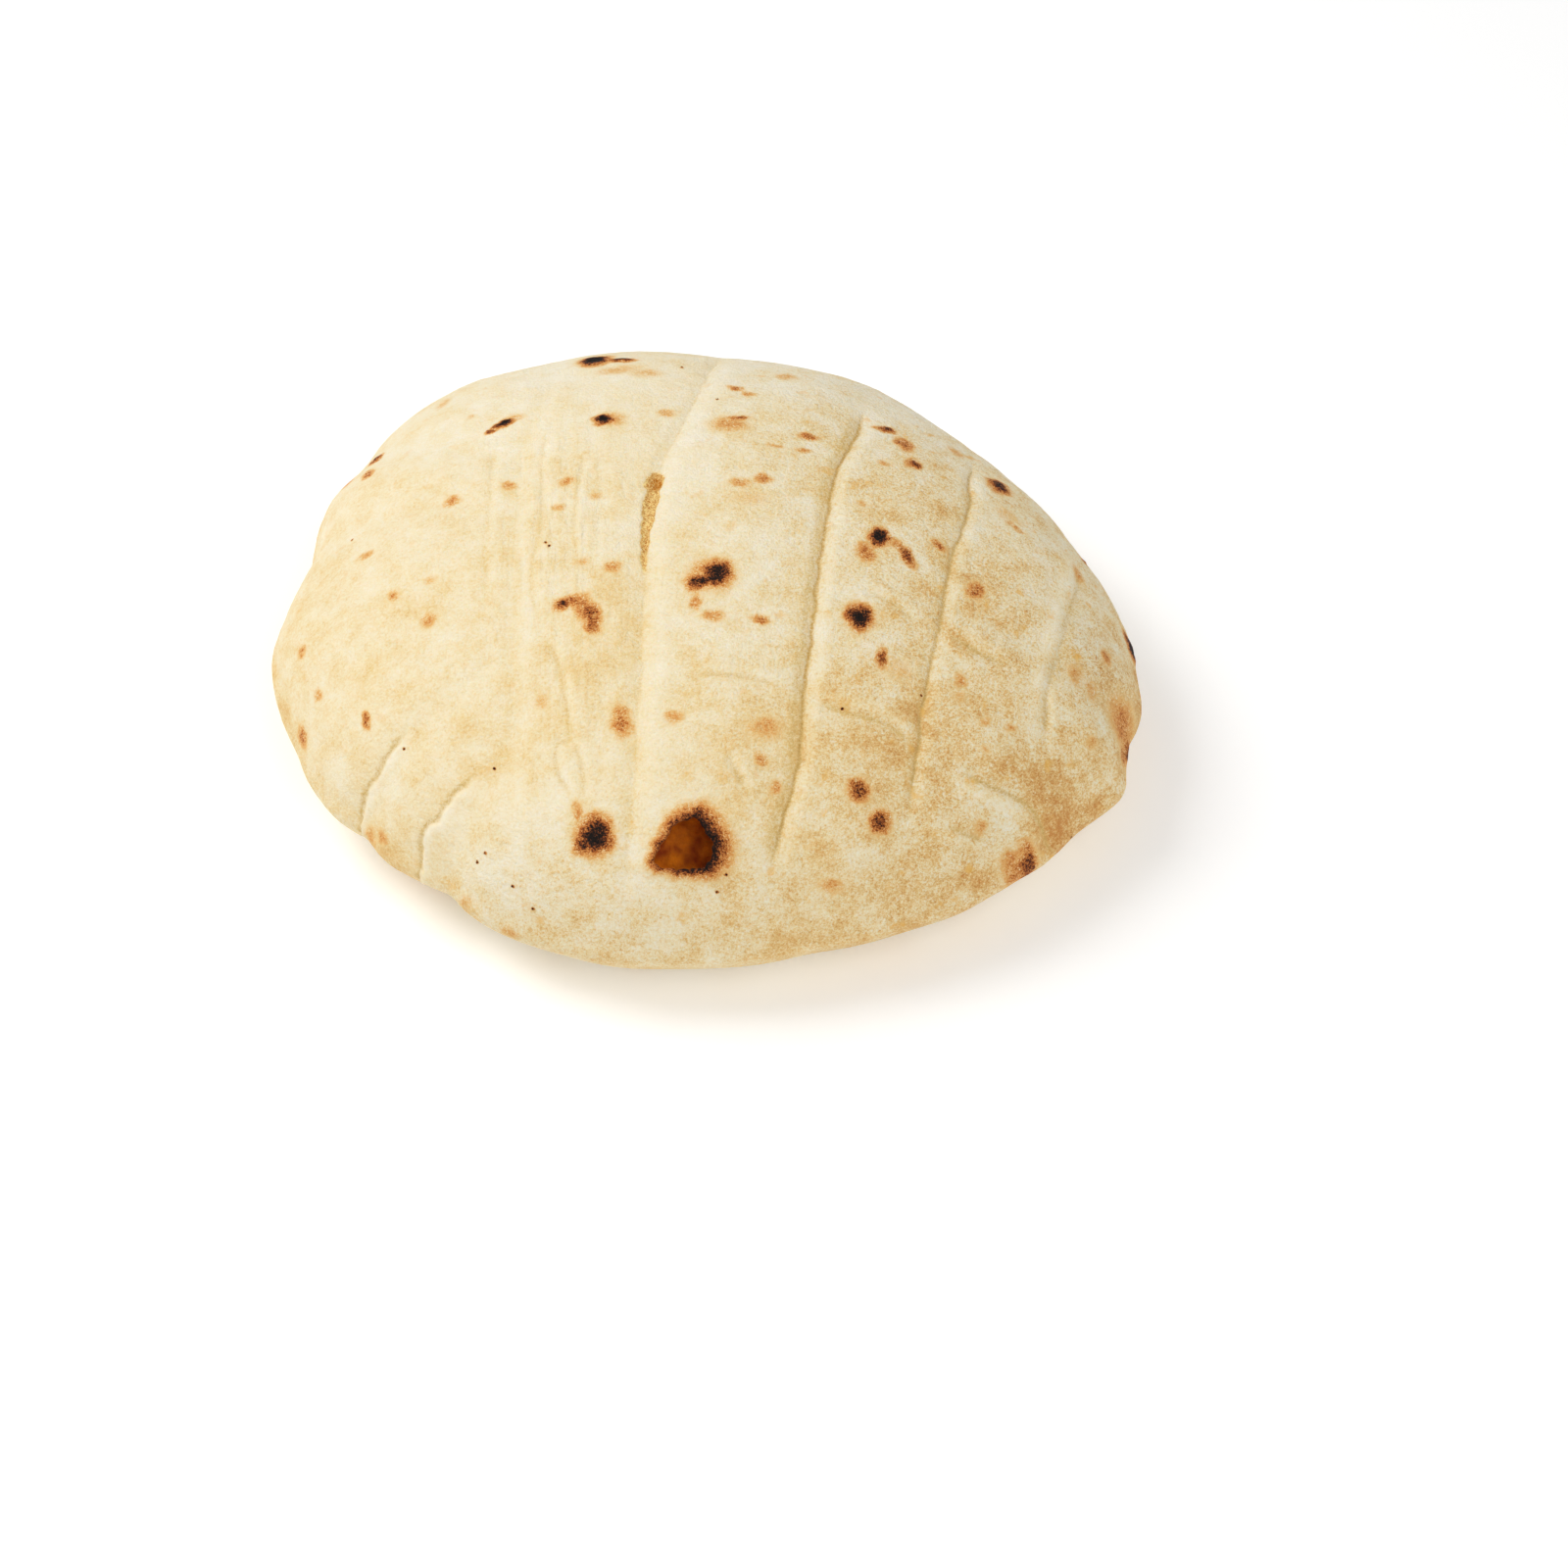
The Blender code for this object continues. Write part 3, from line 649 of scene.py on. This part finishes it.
def score_relief(skin):
    relief = np.zeros(len(skin.points))
    vary = 1 + SCORE_VARIATION * rough(skin.points, SCORE_VARIATION_SIZE, shift=7.0)
    for name, score in SCORES.items():
        off, along, path = skin.scores[name]
        furrow = score.depth * bump(off, score.half_width * MM) + score.cut * bump(off, SCORE_CUT_HALF_WIDTH)
        lip_middle = (score.half_width + 0.6 * score.lip_half_width) * MM
        ridge = score.lip * bump(off + lip_middle, score.lip_half_width * MM)
        relief += (ridge - furrow) * MM * vary * run_out(along, path, SCORE_FADE)
    return relief


def strip_relief(skin):
    """The swell of each strip between two neighbouring scores."""
    lines = []
    for name in SCORES:
        path = skin.scores[name][2]
        path = path[path[:, 1].argsort()]
        lines.append(np.interp(skin.points[:, 1], path[:, 1], path[:, 0]))
    relief = np.zeros(len(skin.points))
    for left, right in zip(lines, lines[1:]):
        share = (skin.points[:, 0] - left) / np.maximum(right - left, 5 * MM)
        inside = (share > 0) & (share < 1)
        relief += STRIP_RISE * np.where(inside, np.sin(math.pi * np.clip(share, 0, 1)), 0)
    reach = np.hypot(skin.points[:, 0], skin.points[:, 1])
    reach = reach / rim_radius(np.arctan2(skin.points[:, 1], skin.points[:, 0]))
    return relief * (1 - np.minimum(reach, 1) ** 6)


def fold_relief(skin):
    """Skin lapped over beside each fold: a nip at its line, a step up, and a slow fall beyond it."""
    relief = np.zeros(len(skin.points))
    for name, (_, step) in FOLDS.items():
        off, along, path = skin.folds[name]
        lap = step * ramp(-off, FOLD_WIDTH) * np.exp(-np.maximum(-off, 0) / FOLD_REACH)
        nip = -FOLD_NIP * step * bump(off, FOLD_WIDTH)
        relief += (lap + nip) * ramp(along, FOLD_FADE)
    return relief


def wrinkle_relief(skin):
    relief = np.zeros(len(skin.points))
    for (_, depth, half_width), (off, along, path) in zip(WRINKLES, skin.wrinkles):
        crease = -depth * bump(off, half_width) + 0.5 * depth * bump(off + 2.2 * half_width, 1.4 * half_width)
        relief += crease * run_out(along, path, 0.5 * SCORE_FADE)
    return relief


def swell_relief(skin):
    relief = np.zeros(len(skin.points))
    for place, height, half_width in SWELLS:
        relief += height * bump(np.linalg.norm(skin.points - on_dome(place), axis=1), half_width)
    return relief


def pleat_field(skin):
    """Where faint wrinkles run along the bread, left of its middle score."""
    return bump(skin.points[:, 0] + 38 * MM, 17 * MM) * bump(skin.points[:, 1] + 8 * MM, 60 * MM)


def skin_unevenness(skin):
    """Soft lumps and fine puckers all over, and pleats left of the middle score."""
    relief = np.zeros(len(skin.points))
    for height, size, octaves in LUMPS:
        relief += height * rough(skin.points, size, octaves)
    pleats = rough(skin.points, PLEAT_SIZE, 2, stretch=PLEAT_STRETCH)
    return relief + PLEAT_HEIGHT * pleat_field(skin) * pleats


def burst_relief(skin):
    """The collar of crust round the burst, with lumps of charred crust on it."""
    outside = np.maximum(skin.beside_burst(), 0)
    collar = BURST_RIM_RISE * bump(outside, BURST_RIM_HALF_WIDTH)
    lumps = RING_LUMP_RISE * rough(skin.points, RING_LUMP_SIZE, 2, shift=3.0)
    return collar + lumps * bump(outside - 0.6 * MM, 1.5 * MM)


def mark_relief(skin, scorch):
    """Scorched skin stands up in small blisters and shrinks where it is black."""
    blister = BLISTER_RISE * ramp(scorch - 0.4, 0.4) - CHAR_SINK * ramp(scorch - 0.95, 0.35)
    lumps = CHAR_LUMP_RISE * rough(skin.points, CHAR_LUMP_SIZE, 2, shift=5.0)
    return blister + lumps * ramp(scorch - 0.7, 0.4)


def open_pocket(skin, moved):
    """Draws the skin inside the burst's outline down and out into a pocket that is wider than its mouth."""
    _, right, up, out = dome_axes(BURST_PLACE)
    inside = 1 - skin.burst_distance / skin.burst_reach
    rows = np.flatnonzero(inside > 0)
    share, reach, turn = inside[rows], skin.burst_reach[rows], skin.burst_turn[rows]
    spread = np.interp(share, POCKET_SHARE, POCKET_SPREAD) * reach - skin.burst_distance[rows]
    drop = np.interp(share, POCKET_SHARE, POCKET_DROP)
    drop = drop + 0.5 * MM * rough(skin.points[rows], 3 * MM, 3, shift=2.0) * ramp(share - 0.1, 0.3)
    away = np.cos(turn)[:, None] * right + np.sin(turn)[:, None] * up
    moved[rows] += spread[:, None] * away - drop[:, None] * out
    # The share it returns is low near the opening's edge and on its left, where it darkens the crumb's colour
    # as painted shade
    return np.clip(inside / 0.6, 0, 1) * (1 - 0.6 * bump(skin.burst_turn - math.pi, 0.8))


def open_gash(skin, moved):
    """Tears the middle score open in a long wedge, with a hollow at its far end."""
    off, along, _ = skin.scores["middle"]
    off = off - GASH_SHIFT
    share = np.clip((along - GASH_START) / (GASH_END - GASH_START), 0, 1)
    width = GASH_HALF_WIDTH * (1 - GASH_TAPER * share) * ramp(share + 0.03, 0.12) + 1e-3 * MM
    width = width * (1 + 0.4 * rough(skin.points, 3.0 * MM, 3, shift=15.0))
    open_share = ramp(1 - np.abs(off) / width, 0.6) * ramp(share, 0.06) * ramp(1 - share, 0.3)
    hollow = bump(along - GASH_START - 1.6 * GASH_HOLLOW, GASH_HOLLOW) * bump(off + 0.5 * MM, 1.3 * MM)
    ragged = 1 + 0.5 * rough(skin.points, 1.5 * MM, 2, shift=9.0)
    moved -= skin.normals * (GASH_DEPTH * (open_share * ragged + 0.8 * hollow))[:, None]
    return 0.45 * ramp(open_share, 0.5) + 0.55 * hollow


def scorch_field(skin):
    """How hot the crust got at each point: 0 is plain crust and 1 is black."""
    heat_map = np.zeros(len(skin.points))
    warp = [rough(skin.points, MARK_WARP_SIZE, 3, shift=shift) for shift in MARK_WARP_SHIFTS]
    strayed = skin.points + MARK_WARP * np.column_stack(warp)
    for x, y, half_width, half_length, turn, heat in MARKS:
        origin, right, up, _ = dome_axes((x, y))
        reach = 3 * MM * max(half_width, half_length)
        near = np.flatnonzero(np.linalg.norm(strayed - origin, axis=1) < reach)
        gap = strayed[near] - origin
        across, rise = gap @ right / MM, gap @ up / MM
        cos, sin = math.cos(math.radians(turn)), math.sin(math.radians(turn))
        along, beyond = across * cos + rise * sin, rise * cos - across * sin
        distance = np.hypot(along / half_width, beyond / half_length)
        core = np.exp(-MARK_FALL * distance**MARK_FALL_POWER)
        glow = MARK_GLOW * bump(distance, MARK_GLOW_REACH)
        heat_map[near] = np.maximum(heat_map[near], heat * ((1 - MARK_GLOW) * core + glow))
    for place in SPECKS:
        distance = np.linalg.norm(skin.points - on_dome(place), axis=1)
        heat_map = np.maximum(heat_map, SPECK_HEAT * bump(distance, SPECK_RADIUS))
    return np.maximum(heat_map, burst_ring(skin))


def burst_ring(skin):
    """The charred crust round the burst: thick and black on its right, thinner and browner elsewhere."""
    outside = skin.beside_burst() + 0.5 * MM * rough(skin.points, 1.6 * MM, 3, shift=41.0)
    place = skin.burst_turn * len(RING_HEAT) / (2 * math.pi)
    heat, width = smooth_loop(RING_HEAT, place), smooth_loop(RING_WIDTH, place)
    inward = 0.5 * width + 0.5 * MM
    return heat * np.exp(-(np.where(outside > 0, outside / width, -outside / inward) ** 1.35))


def toast_field(skin):
    """Broad golden toasting, stronger to the right and along the rim."""
    toast = np.zeros(len(skin.points))
    for place, amount, half_width in TOASTS:
        toast += amount * bump(np.linalg.norm(skin.points - on_dome(place), axis=1), half_width)
    return toast + RIM_TOAST * bump(skin.points[:, 2] - RIM_HEIGHT, RIM_TOAST_HALF_HEIGHT)


def groove_amber_and_shade(skin):
    """The amber crust in the scores, the folds and the wrinkles, with painted shade on the scores' slopes
    without a lip and in the wrinkles' creases.
    """
    amber = np.zeros(len(skin.points))
    for name, score in SCORES.items():
        off, along, path = skin.scores[name]
        line = score.line_amber * bump(off, 0.7 * MM)
        # Painted shade on the slope without a lip, which faces away from the key light
        slope = score.slope_shade * bump(off - 1.7 * MM, 2.0 * MM)
        colour = np.maximum(line, slope)
        amber = np.maximum(amber, colour * run_out(along, path, SCORE_FADE))
    for off, along, path in skin.folds.values():
        amber = np.maximum(amber, 0.42 * bump(off - 0.6 * MM, 1.0 * MM) * ramp(along, FOLD_FADE))
    for (_, depth, _), (off, along, path) in zip(WRINKLES, skin.wrinkles):
        # In the wrinkles the amber is partly their crust and partly painted shade in the crease, as strong as
        # the wrinkle is deep
        line = 0.7 * depth / MM * bump(off, 0.8 * MM)
        amber = np.maximum(amber, line * run_out(along, path, 0.5 * SCORE_FADE))
    return amber


def pale_skin_and_highlight(skin):
    """Pale skin on the right of the scores and the folds and beside the wrinkles: partly stretched skin,
    partly a painted highlight on the raised lips and ridges that face the key light.
    """
    pale = np.zeros(len(skin.points))
    for name, score in SCORES.items():
        off, along, path = skin.scores[name]
        middle = (0.6 * score.half_width + 0.7 * score.lip_half_width) * MM
        band = bump(off + middle, score.lip_half_width * MM)
        # A painted highlight on the lip, paler the higher it stands
        pale = np.maximum(pale, min(1.8 * score.lip, 1) * band * run_out(along, path, SCORE_FADE))
    for off, along, _ in skin.folds.values():
        # A painted highlight on the raised edge of the lap
        pale = np.maximum(pale, 0.8 * bump(off + 1.3 * MM, 1.1 * MM) * ramp(along, FOLD_FADE))
    for (_, depth, half_width), (off, along, path) in zip(WRINKLES, skin.wrinkles):
        # A painted highlight on the ridge beside each wrinkle, as strong as the wrinkle is deep
        band = bump(off + 1.9 * half_width, 1.2 * half_width) * run_out(along, path, 0.5 * SCORE_FADE)
        pale = np.maximum(pale, 0.6 * depth / MM * band)
    return pale


def grain_field(skin):
    """Where the crust is grainy: on the right and low on the front, less on the left."""
    grain = 0.3 + 0.7 * ramp(skin.points[:, 0] + 25 * MM, 90 * MM)
    distance = np.linalg.norm(skin.points - on_dome(CRINKLED), axis=1)
    grain = grain + 0.5 * bump(distance, CRINKLED_HALF_WIDTH)
    return np.maximum(grain, 0.75 * ramp(-skin.points[:, 1] - 55 * MM, 40 * MM))


def underside_scorch(skin):
    """Browned patches and a few dark spots where the bread lay on the oven's floor."""
    patches = ramp(rough(skin.points, 22 * MM, 3, shift=11.0) - 0.12, 0.5) * 0.5
    spots = ramp(rough(skin.points, 9 * MM, 2, shift=17.0) - 0.42, 0.3) * 0.95
    return np.maximum(patches, spots) * ramp(0.5 * RIM_HEIGHT - skin.points[:, 2], 0.4 * RIM_HEIGHT)


def near_detail(points, level):
    """Whether each point is near enough to a detail to need the finer mesh of a level."""
    reach = LINE_REACH[level]
    near = np.linalg.norm(points - on_dome(BURST_PLACE), axis=1) < BURST_REFINED[level]
    fine = [SCORES[name].places for name in ("middle", "right of middle", "right")]
    fine += [places for places, _ in FOLDS.values()]
    for places in fine:
        off, _ = beside(skin_path(places), points, reach=8 * MM)
        near |= np.abs(off) < LINE_SHARE[level] * reach
    if level == 0:
        for places, *_ in WRINKLES:
            off, _ = beside(skin_path(places), points, reach=8 * MM)
            near |= np.abs(off) < WRINKLE_REACH
        for x, y, half_width, half_length, _, heat in MARKS:
            if heat > HOT_MARK:
                size = (max(half_width, half_length) + 1) * MM
                near |= np.linalg.norm(points - on_dome((x, y)), axis=1) < size
    else:
        off, along = beside(skin_path(SCORES["middle"].places), points, reach=8 * MM)
        in_gash = (along > GASH_START - GASH_MARGIN) & (along < GASH_END + GASH_MARGIN)
        near |= (np.abs(off) < 1.5 * reach) & in_gash
    for place in SPECKS:
        near |= np.linalg.norm(points - on_dome(place), axis=1) < (2.5 - level) * MM
    return near


def refine(sphere, level):
    edges = list(sphere.edges)
    middles = np.array([(edge.verts[0].co + edge.verts[1].co).normalized() for edge in edges])
    near = near_detail(body_points(middles), level)
    chosen = [edge for edge, wanted in zip(edges, near) if wanted]
    bmesh.ops.subdivide_edges(sphere, edges=chosen, cuts=1, use_grid_fill=True)
    for vert in sphere.verts:
        vert.co.normalize()


def make_sphere():
    """A cube with finely cut faces, blown up to a sphere, and cut finer still near the details."""
    sphere = bmesh.new()
    bmesh.ops.create_cube(sphere, size=2)
    bmesh.ops.subdivide_edges(sphere, edges=sphere.edges, cuts=GRID - 1, use_grid_fill=True)
    for vert in sphere.verts:
        vert.co = Vector([math.tan(math.pi / 4 * value) for value in vert.co]).normalized()
    for level in (0, 1):
        refine(sphere, level)
    return sphere


def make_crust(material):
    mesh = make_sphere()
    skin = Skin(mesh)
    scorch = np.maximum(scorch_field(skin) * skin.top, underside_scorch(skin))
    relief = score_relief(skin) + strip_relief(skin) + fold_relief(skin) + wrinkle_relief(skin)
    relief += swell_relief(skin) + burst_relief(skin) + skin_unevenness(skin) + mark_relief(skin, scorch)
    moved = skin.points + skin.normals * (relief * skin.top)[:, None]
    gash = open_gash(skin, moved)
    pocket = open_pocket(skin, moved)
    moved[:, 2] = np.maximum(moved[:, 2], LOW.z)
    for vert, point in zip(mesh.verts, moved):
        vert.co = point
    bmesh.ops.triangulate(mesh, faces=[face for face in mesh.faces if len(face.verts) > 4])
    data = bpy.data.meshes.new("crust")
    mesh.to_mesh(data)
    mesh.free()
    fields = {
        "scorch": scorch,
        "toast": toast_field(skin),
        "amber": groove_amber_and_shade(skin),
        "torn": gash,
        "pale": pale_skin_and_highlight(skin) * (1 - gash),
        "grain": grain_field(skin),
        "pleat": pleat_field(skin),
        "pocket": np.where(skin.burst_distance < skin.burst_reach, pocket, 0),
    }
    for name, values in fields.items():
        data.attributes.new(name, "FLOAT", "POINT").data.foreach_set("value", values.astype(np.float32))
    data.materials.append(material)
    data.shade_smooth()
    crust = bpy.data.objects.new("crust", data)
    bpy.context.scene.collection.objects.link(crust)
    return crust


def linear(red, green, blue):
    """A colour given as 0 to 255 screen values, as the shader needs it."""
    return tuple((value / 255) ** 2.2 for value in (red, green, blue)) + (1.0,)


class Socket:
    """A shader socket that adds its Math nodes when it is used in an expression."""

    def __init__(self, tree, socket):
        self.tree, self.socket = tree, socket

    def node(self, kind, inputs=(), output=0, **settings):
        """A new node with its settings, then its inputs by name or place: values, colours or sockets."""
        made = self.tree.nodes.new(kind)
        for name, value in settings.items():
            if name == "stops":
                self.fill_ramp(made.color_ramp, value)
            else:
                setattr(made, name, value)
        for key, value in dict(inputs).items():
            if isinstance(value, Socket):
                self.tree.links.new(value.socket, made.inputs[key])
            else:
                made.inputs[key].default_value = value
        return Socket(self.tree, made.outputs[output])

    @staticmethod
    def fill_ramp(color_ramp, stops):
        while len(color_ramp.elements) < len(stops):
            color_ramp.elements.new(1.0)
        for element, (position, colour) in zip(color_ramp.elements, stops):
            element.position = position
            element.color = linear(*colour)

    def maths(self, operation, first, second=0.0, clamp=False):
        return self.node("ShaderNodeMath", {0: first, 1: second}, operation=operation, use_clamp=clamp)

    def __add__(self, other):
        return self.maths("ADD", self, other)

    def __radd__(self, other):
        return self.maths("ADD", other, self)

    def __sub__(self, other):
        return self.maths("SUBTRACT", self, other)

    def __rsub__(self, other):
        return self.maths("SUBTRACT", other, self)

    def __mul__(self, other):
        return self.maths("MULTIPLY", self, other)

    def __rmul__(self, other):
        return self.maths("MULTIPLY", other, self)

    def clamped(self):
        return self.maths("ADD", self, 0.0, clamp=True)

    def between(self, low, high):
        """0 below low and 1 above high, with a smooth rise."""
        limits = {0: self, 1: low, 2: high, 3: 0.0, 4: 1.0}
        return self.node("ShaderNodeMapRange", limits, interpolation_type="SMOOTHSTEP")

    def colours(self, stops):
        return self.node("ShaderNodeValToRGB", {0: self}, stops=stops)

    def mix(self, first, second, blend="MIX"):
        """Between two colours, by this socket."""
        inputs = {0: self, 6: first, 7: second}
        return self.node("ShaderNodeMix", inputs, output=2, data_type="RGBA", blend_type=blend)


def crust_material():
    material = bpy.data.materials.new("baked_crust")
    material.use_nodes = True
    tree = material.node_tree
    shader = tree.nodes["Principled BSDF"]
    place = Socket(tree, tree.nodes.new("ShaderNodeTexCoord").outputs["Object"])

    def field(name):
        return place.node("ShaderNodeAttribute", output=2, attribute_name=name)

    def lumps(size, detail=3.0, roughness=0.5):
        inputs = {"Vector": place, "Scale": 1 / size, "Detail": detail, "Roughness": roughness}
        return place.node("ShaderNodeTexNoise", inputs) - 0.5

    def cells(size):
        inputs = {"Vector": place, "Scale": 1 / size, "Smoothness": 0.4, "Randomness": 1.0}
        return place.node("ShaderNodeTexVoronoi", inputs, feature="SMOOTH_F1")

    scorch, toast, amber = field("scorch"), field("toast"), field("amber")
    pale, grain, pocket, pleat = field("pale"), field("grain"), field("pocket"), field("pleat")
    torn = field("torn")
    broad, patchy = lumps(BROAD_SIZE), lumps(PATCH_SIZE, 4.0, 0.6)
    mottle, fine, grit = lumps(MOTTLE_SIZE, 3.0, 0.6), lumps(FINE_SIZE, 3.0, 0.7), lumps(GRIT_SIZE, 2.0, 0.6)
    kernels = cells(KERNEL_SIZE)
    # Streaks along the pleats: in the bump they are the pleats' fine wrinkles, and in the colour they are
    # painted light and shade of these wrinkles, pale and golden
    drawn_out = place.node("ShaderNodeMapping", {"Vector": place, "Scale": (1.0, 0.1, 0.1)})
    inputs = {"Vector": drawn_out, "Scale": 1 / STREAK_SIZE, "Detail": 3.0}
    streaks = drawn_out.node("ShaderNodeTexNoise", inputs) - 0.5

    grain = grain * (1.0 - 0.7 * pale)
    tone = PLAIN_TONE + 0.85 * toast + 0.35 * broad + (0.5 + 0.75 * grain) * patchy
    # Paler on stretched skin and on the painted highlights of the lips and ridges, and streaked with painted
    # light and shade along the pleats
    tone = tone - 0.2 * pale + 0.55 * streaks * pleat
    speckle = (0.25 * mottle + 0.9 * fine) * (0.4 + 1.0 * grain) + (kernels - 0.45) * (0.08 + 0.16 * grain)
    tone = tone + speckle + 1.3 * grit * grain
    crust = tone.clamped().colours(CRUST_COLOURS)
    # The amber of the scores' lines, the folds and the wrinkles, and the painted shade on the scores' slopes
    # and in the wrinkles' creases
    in_groove = (amber * (1.0 + 1.6 * fine + 1.2 * grit)).clamped()
    groove = in_groove.mix(linear(*GROOVE_PALE), linear(*GROOVE_DARK))
    crust = in_groove.between(0.0, 0.7).mix(crust, groove)

    crumbs = (1.25 * torn + 3.0 * fine + 2.4 * grit - 0.16).clamped()
    crumbs = crumbs.mix(linear(*TORN_PALE), linear(*TORN_DARK))
    crust = torn.between(0.04, 0.44).mix(crust, crumbs)
    freckles = lumps(FRECKLE_SIZE).between(0.12, 0.24) * grain * 0.75
    crust = freckles.mix(crust, linear(*FRECKLE))

    heat = scorch + (1.15 * fine + 1.2 * grit + 0.5 * mottle) * scorch.between(0.1, 0.6)
    crust = heat.between(0.05, 0.34).mix(crust, heat.colours(BURN_COLOURS))
    # The crumb in the pocket, with random lumps, darker towards its edges and on its left as painted shade
    # under the overhanging skin
    pocket_crumb_and_shade = (0.7 * pocket - 0.05 + 3.0 * lumps(CRUMB_SIZE, 2.0) + 0.6 * mottle).clamped()
    pocket_crumb_and_shade = pocket_crumb_and_shade.mix(linear(*POCKET_DARK), linear(*POCKET_LIGHT))
    crust = (pocket.between(0.01, 0.1) * (1.0 - heat.between(0.3, 0.75))).mix(crust, pocket_crumb_and_shade)

    height = 0.5 * kernels * (0.35 + grain) + (1.25 * fine + 0.75 * grit) * (0.45 + 0.8 * grain)
    height = height + (0.9 + 1.2 * grain) * mottle
    height = height + 1.4 * (fine + grit) * scorch.between(0.4, 0.9) + 3.2 * streaks * pleat
    relief = {"Strength": 0.8, "Distance": BUMP_DEPTH, "Height": height}
    gloss = 0.76 + 0.1 * heat.between(0.5, 0.9) - 0.12 * pocket + 0.2 * fine
    tree.links.new(crust.socket, shader.inputs["Base Color"])
    tree.links.new(gloss.clamped().socket, shader.inputs["Roughness"])
    tree.links.new(place.node("ShaderNodeBump", relief).socket, shader.inputs["Normal"])
    shader.inputs["Specular IOR Level"].default_value = 0.3
    shader.inputs["Subsurface Weight"].default_value = 0.12
    shader.inputs["Subsurface Radius"].default_value = (1.0, 0.6, 0.3)
    shader.inputs["Subsurface Scale"].default_value = 1.6 * MM
    return material


def make_floor():
    mesh = bmesh.new()
    bmesh.ops.create_grid(mesh, x_segments=1, y_segments=1, size=FLOOR_SIZE / 2)
    data = bpy.data.meshes.new("floor")
    mesh.to_mesh(data)
    mesh.free()
    material = bpy.data.materials.new("floor_white")
    material.use_nodes = True
    shader = material.node_tree.nodes["Principled BSDF"]
    shader.inputs["Base Color"].default_value = (1.0, 1.0, 1.0, 1.0)
    shader.inputs["Roughness"].default_value = 0.8
    shader.inputs["Emission Color"].default_value = (1.0, 1.0, 1.0, 1.0)
    shader.inputs["Emission Strength"].default_value = 0.12
    data.materials.append(material)
    floor = bpy.data.objects.new("floor", data)
    bpy.context.scene.collection.objects.link(floor)


def add_area_light(name, place, aim, size, power, colour=(1.0, 1.0, 1.0)):
    light = bpy.data.lights.new(name, "AREA")
    light.shape = "SQUARE"
    light.size = size
    light.energy = power
    light.color = colour
    lamp = bpy.data.objects.new(name, light)
    lamp.location = place
    lamp.rotation_euler = (Vector(aim) - Vector(place)).to_track_quat("-Z", "Y").to_euler()
    bpy.context.scene.collection.objects.link(lamp)


def add_studio_light():
    aim = (0.0, 0.0, 0.03)
    add_area_light("key", (-0.75, 0.25, 0.95), aim, size=0.7, power=8.0, colour=(1.0, 0.99, 0.97))
    add_area_light("fill", (0.7, -0.9, 1.1), aim, size=1.2, power=8.2)
    world = bpy.data.worlds.new("studio")
    world.use_nodes = True
    world.node_tree.nodes["Background"].inputs["Color"].default_value = (1.0, 1.0, 1.0, 1.0)
    world.node_tree.nodes["Background"].inputs["Strength"].default_value = 0.45
    bpy.context.scene.world = world


def add_camera():
    camera = bpy.data.cameras.new("camera")
    camera.lens = LENS
    camera.sensor_width = 36.0
    eye = bpy.data.objects.new("camera", camera)
    eye.location = CAMERA_PLACE
    eye.rotation_euler = Vector(CAMERA_AIM).to_track_quat("-Z", "Y").to_euler()
    bpy.context.scene.collection.objects.link(eye)
    bpy.context.scene.camera = eye


bpy.context.scene.view_settings.view_transform = "Standard"
bread = make_crust(crust_material())
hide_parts(NODE)
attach(bread, "root")
make_floor()
add_studio_light()
add_camera()
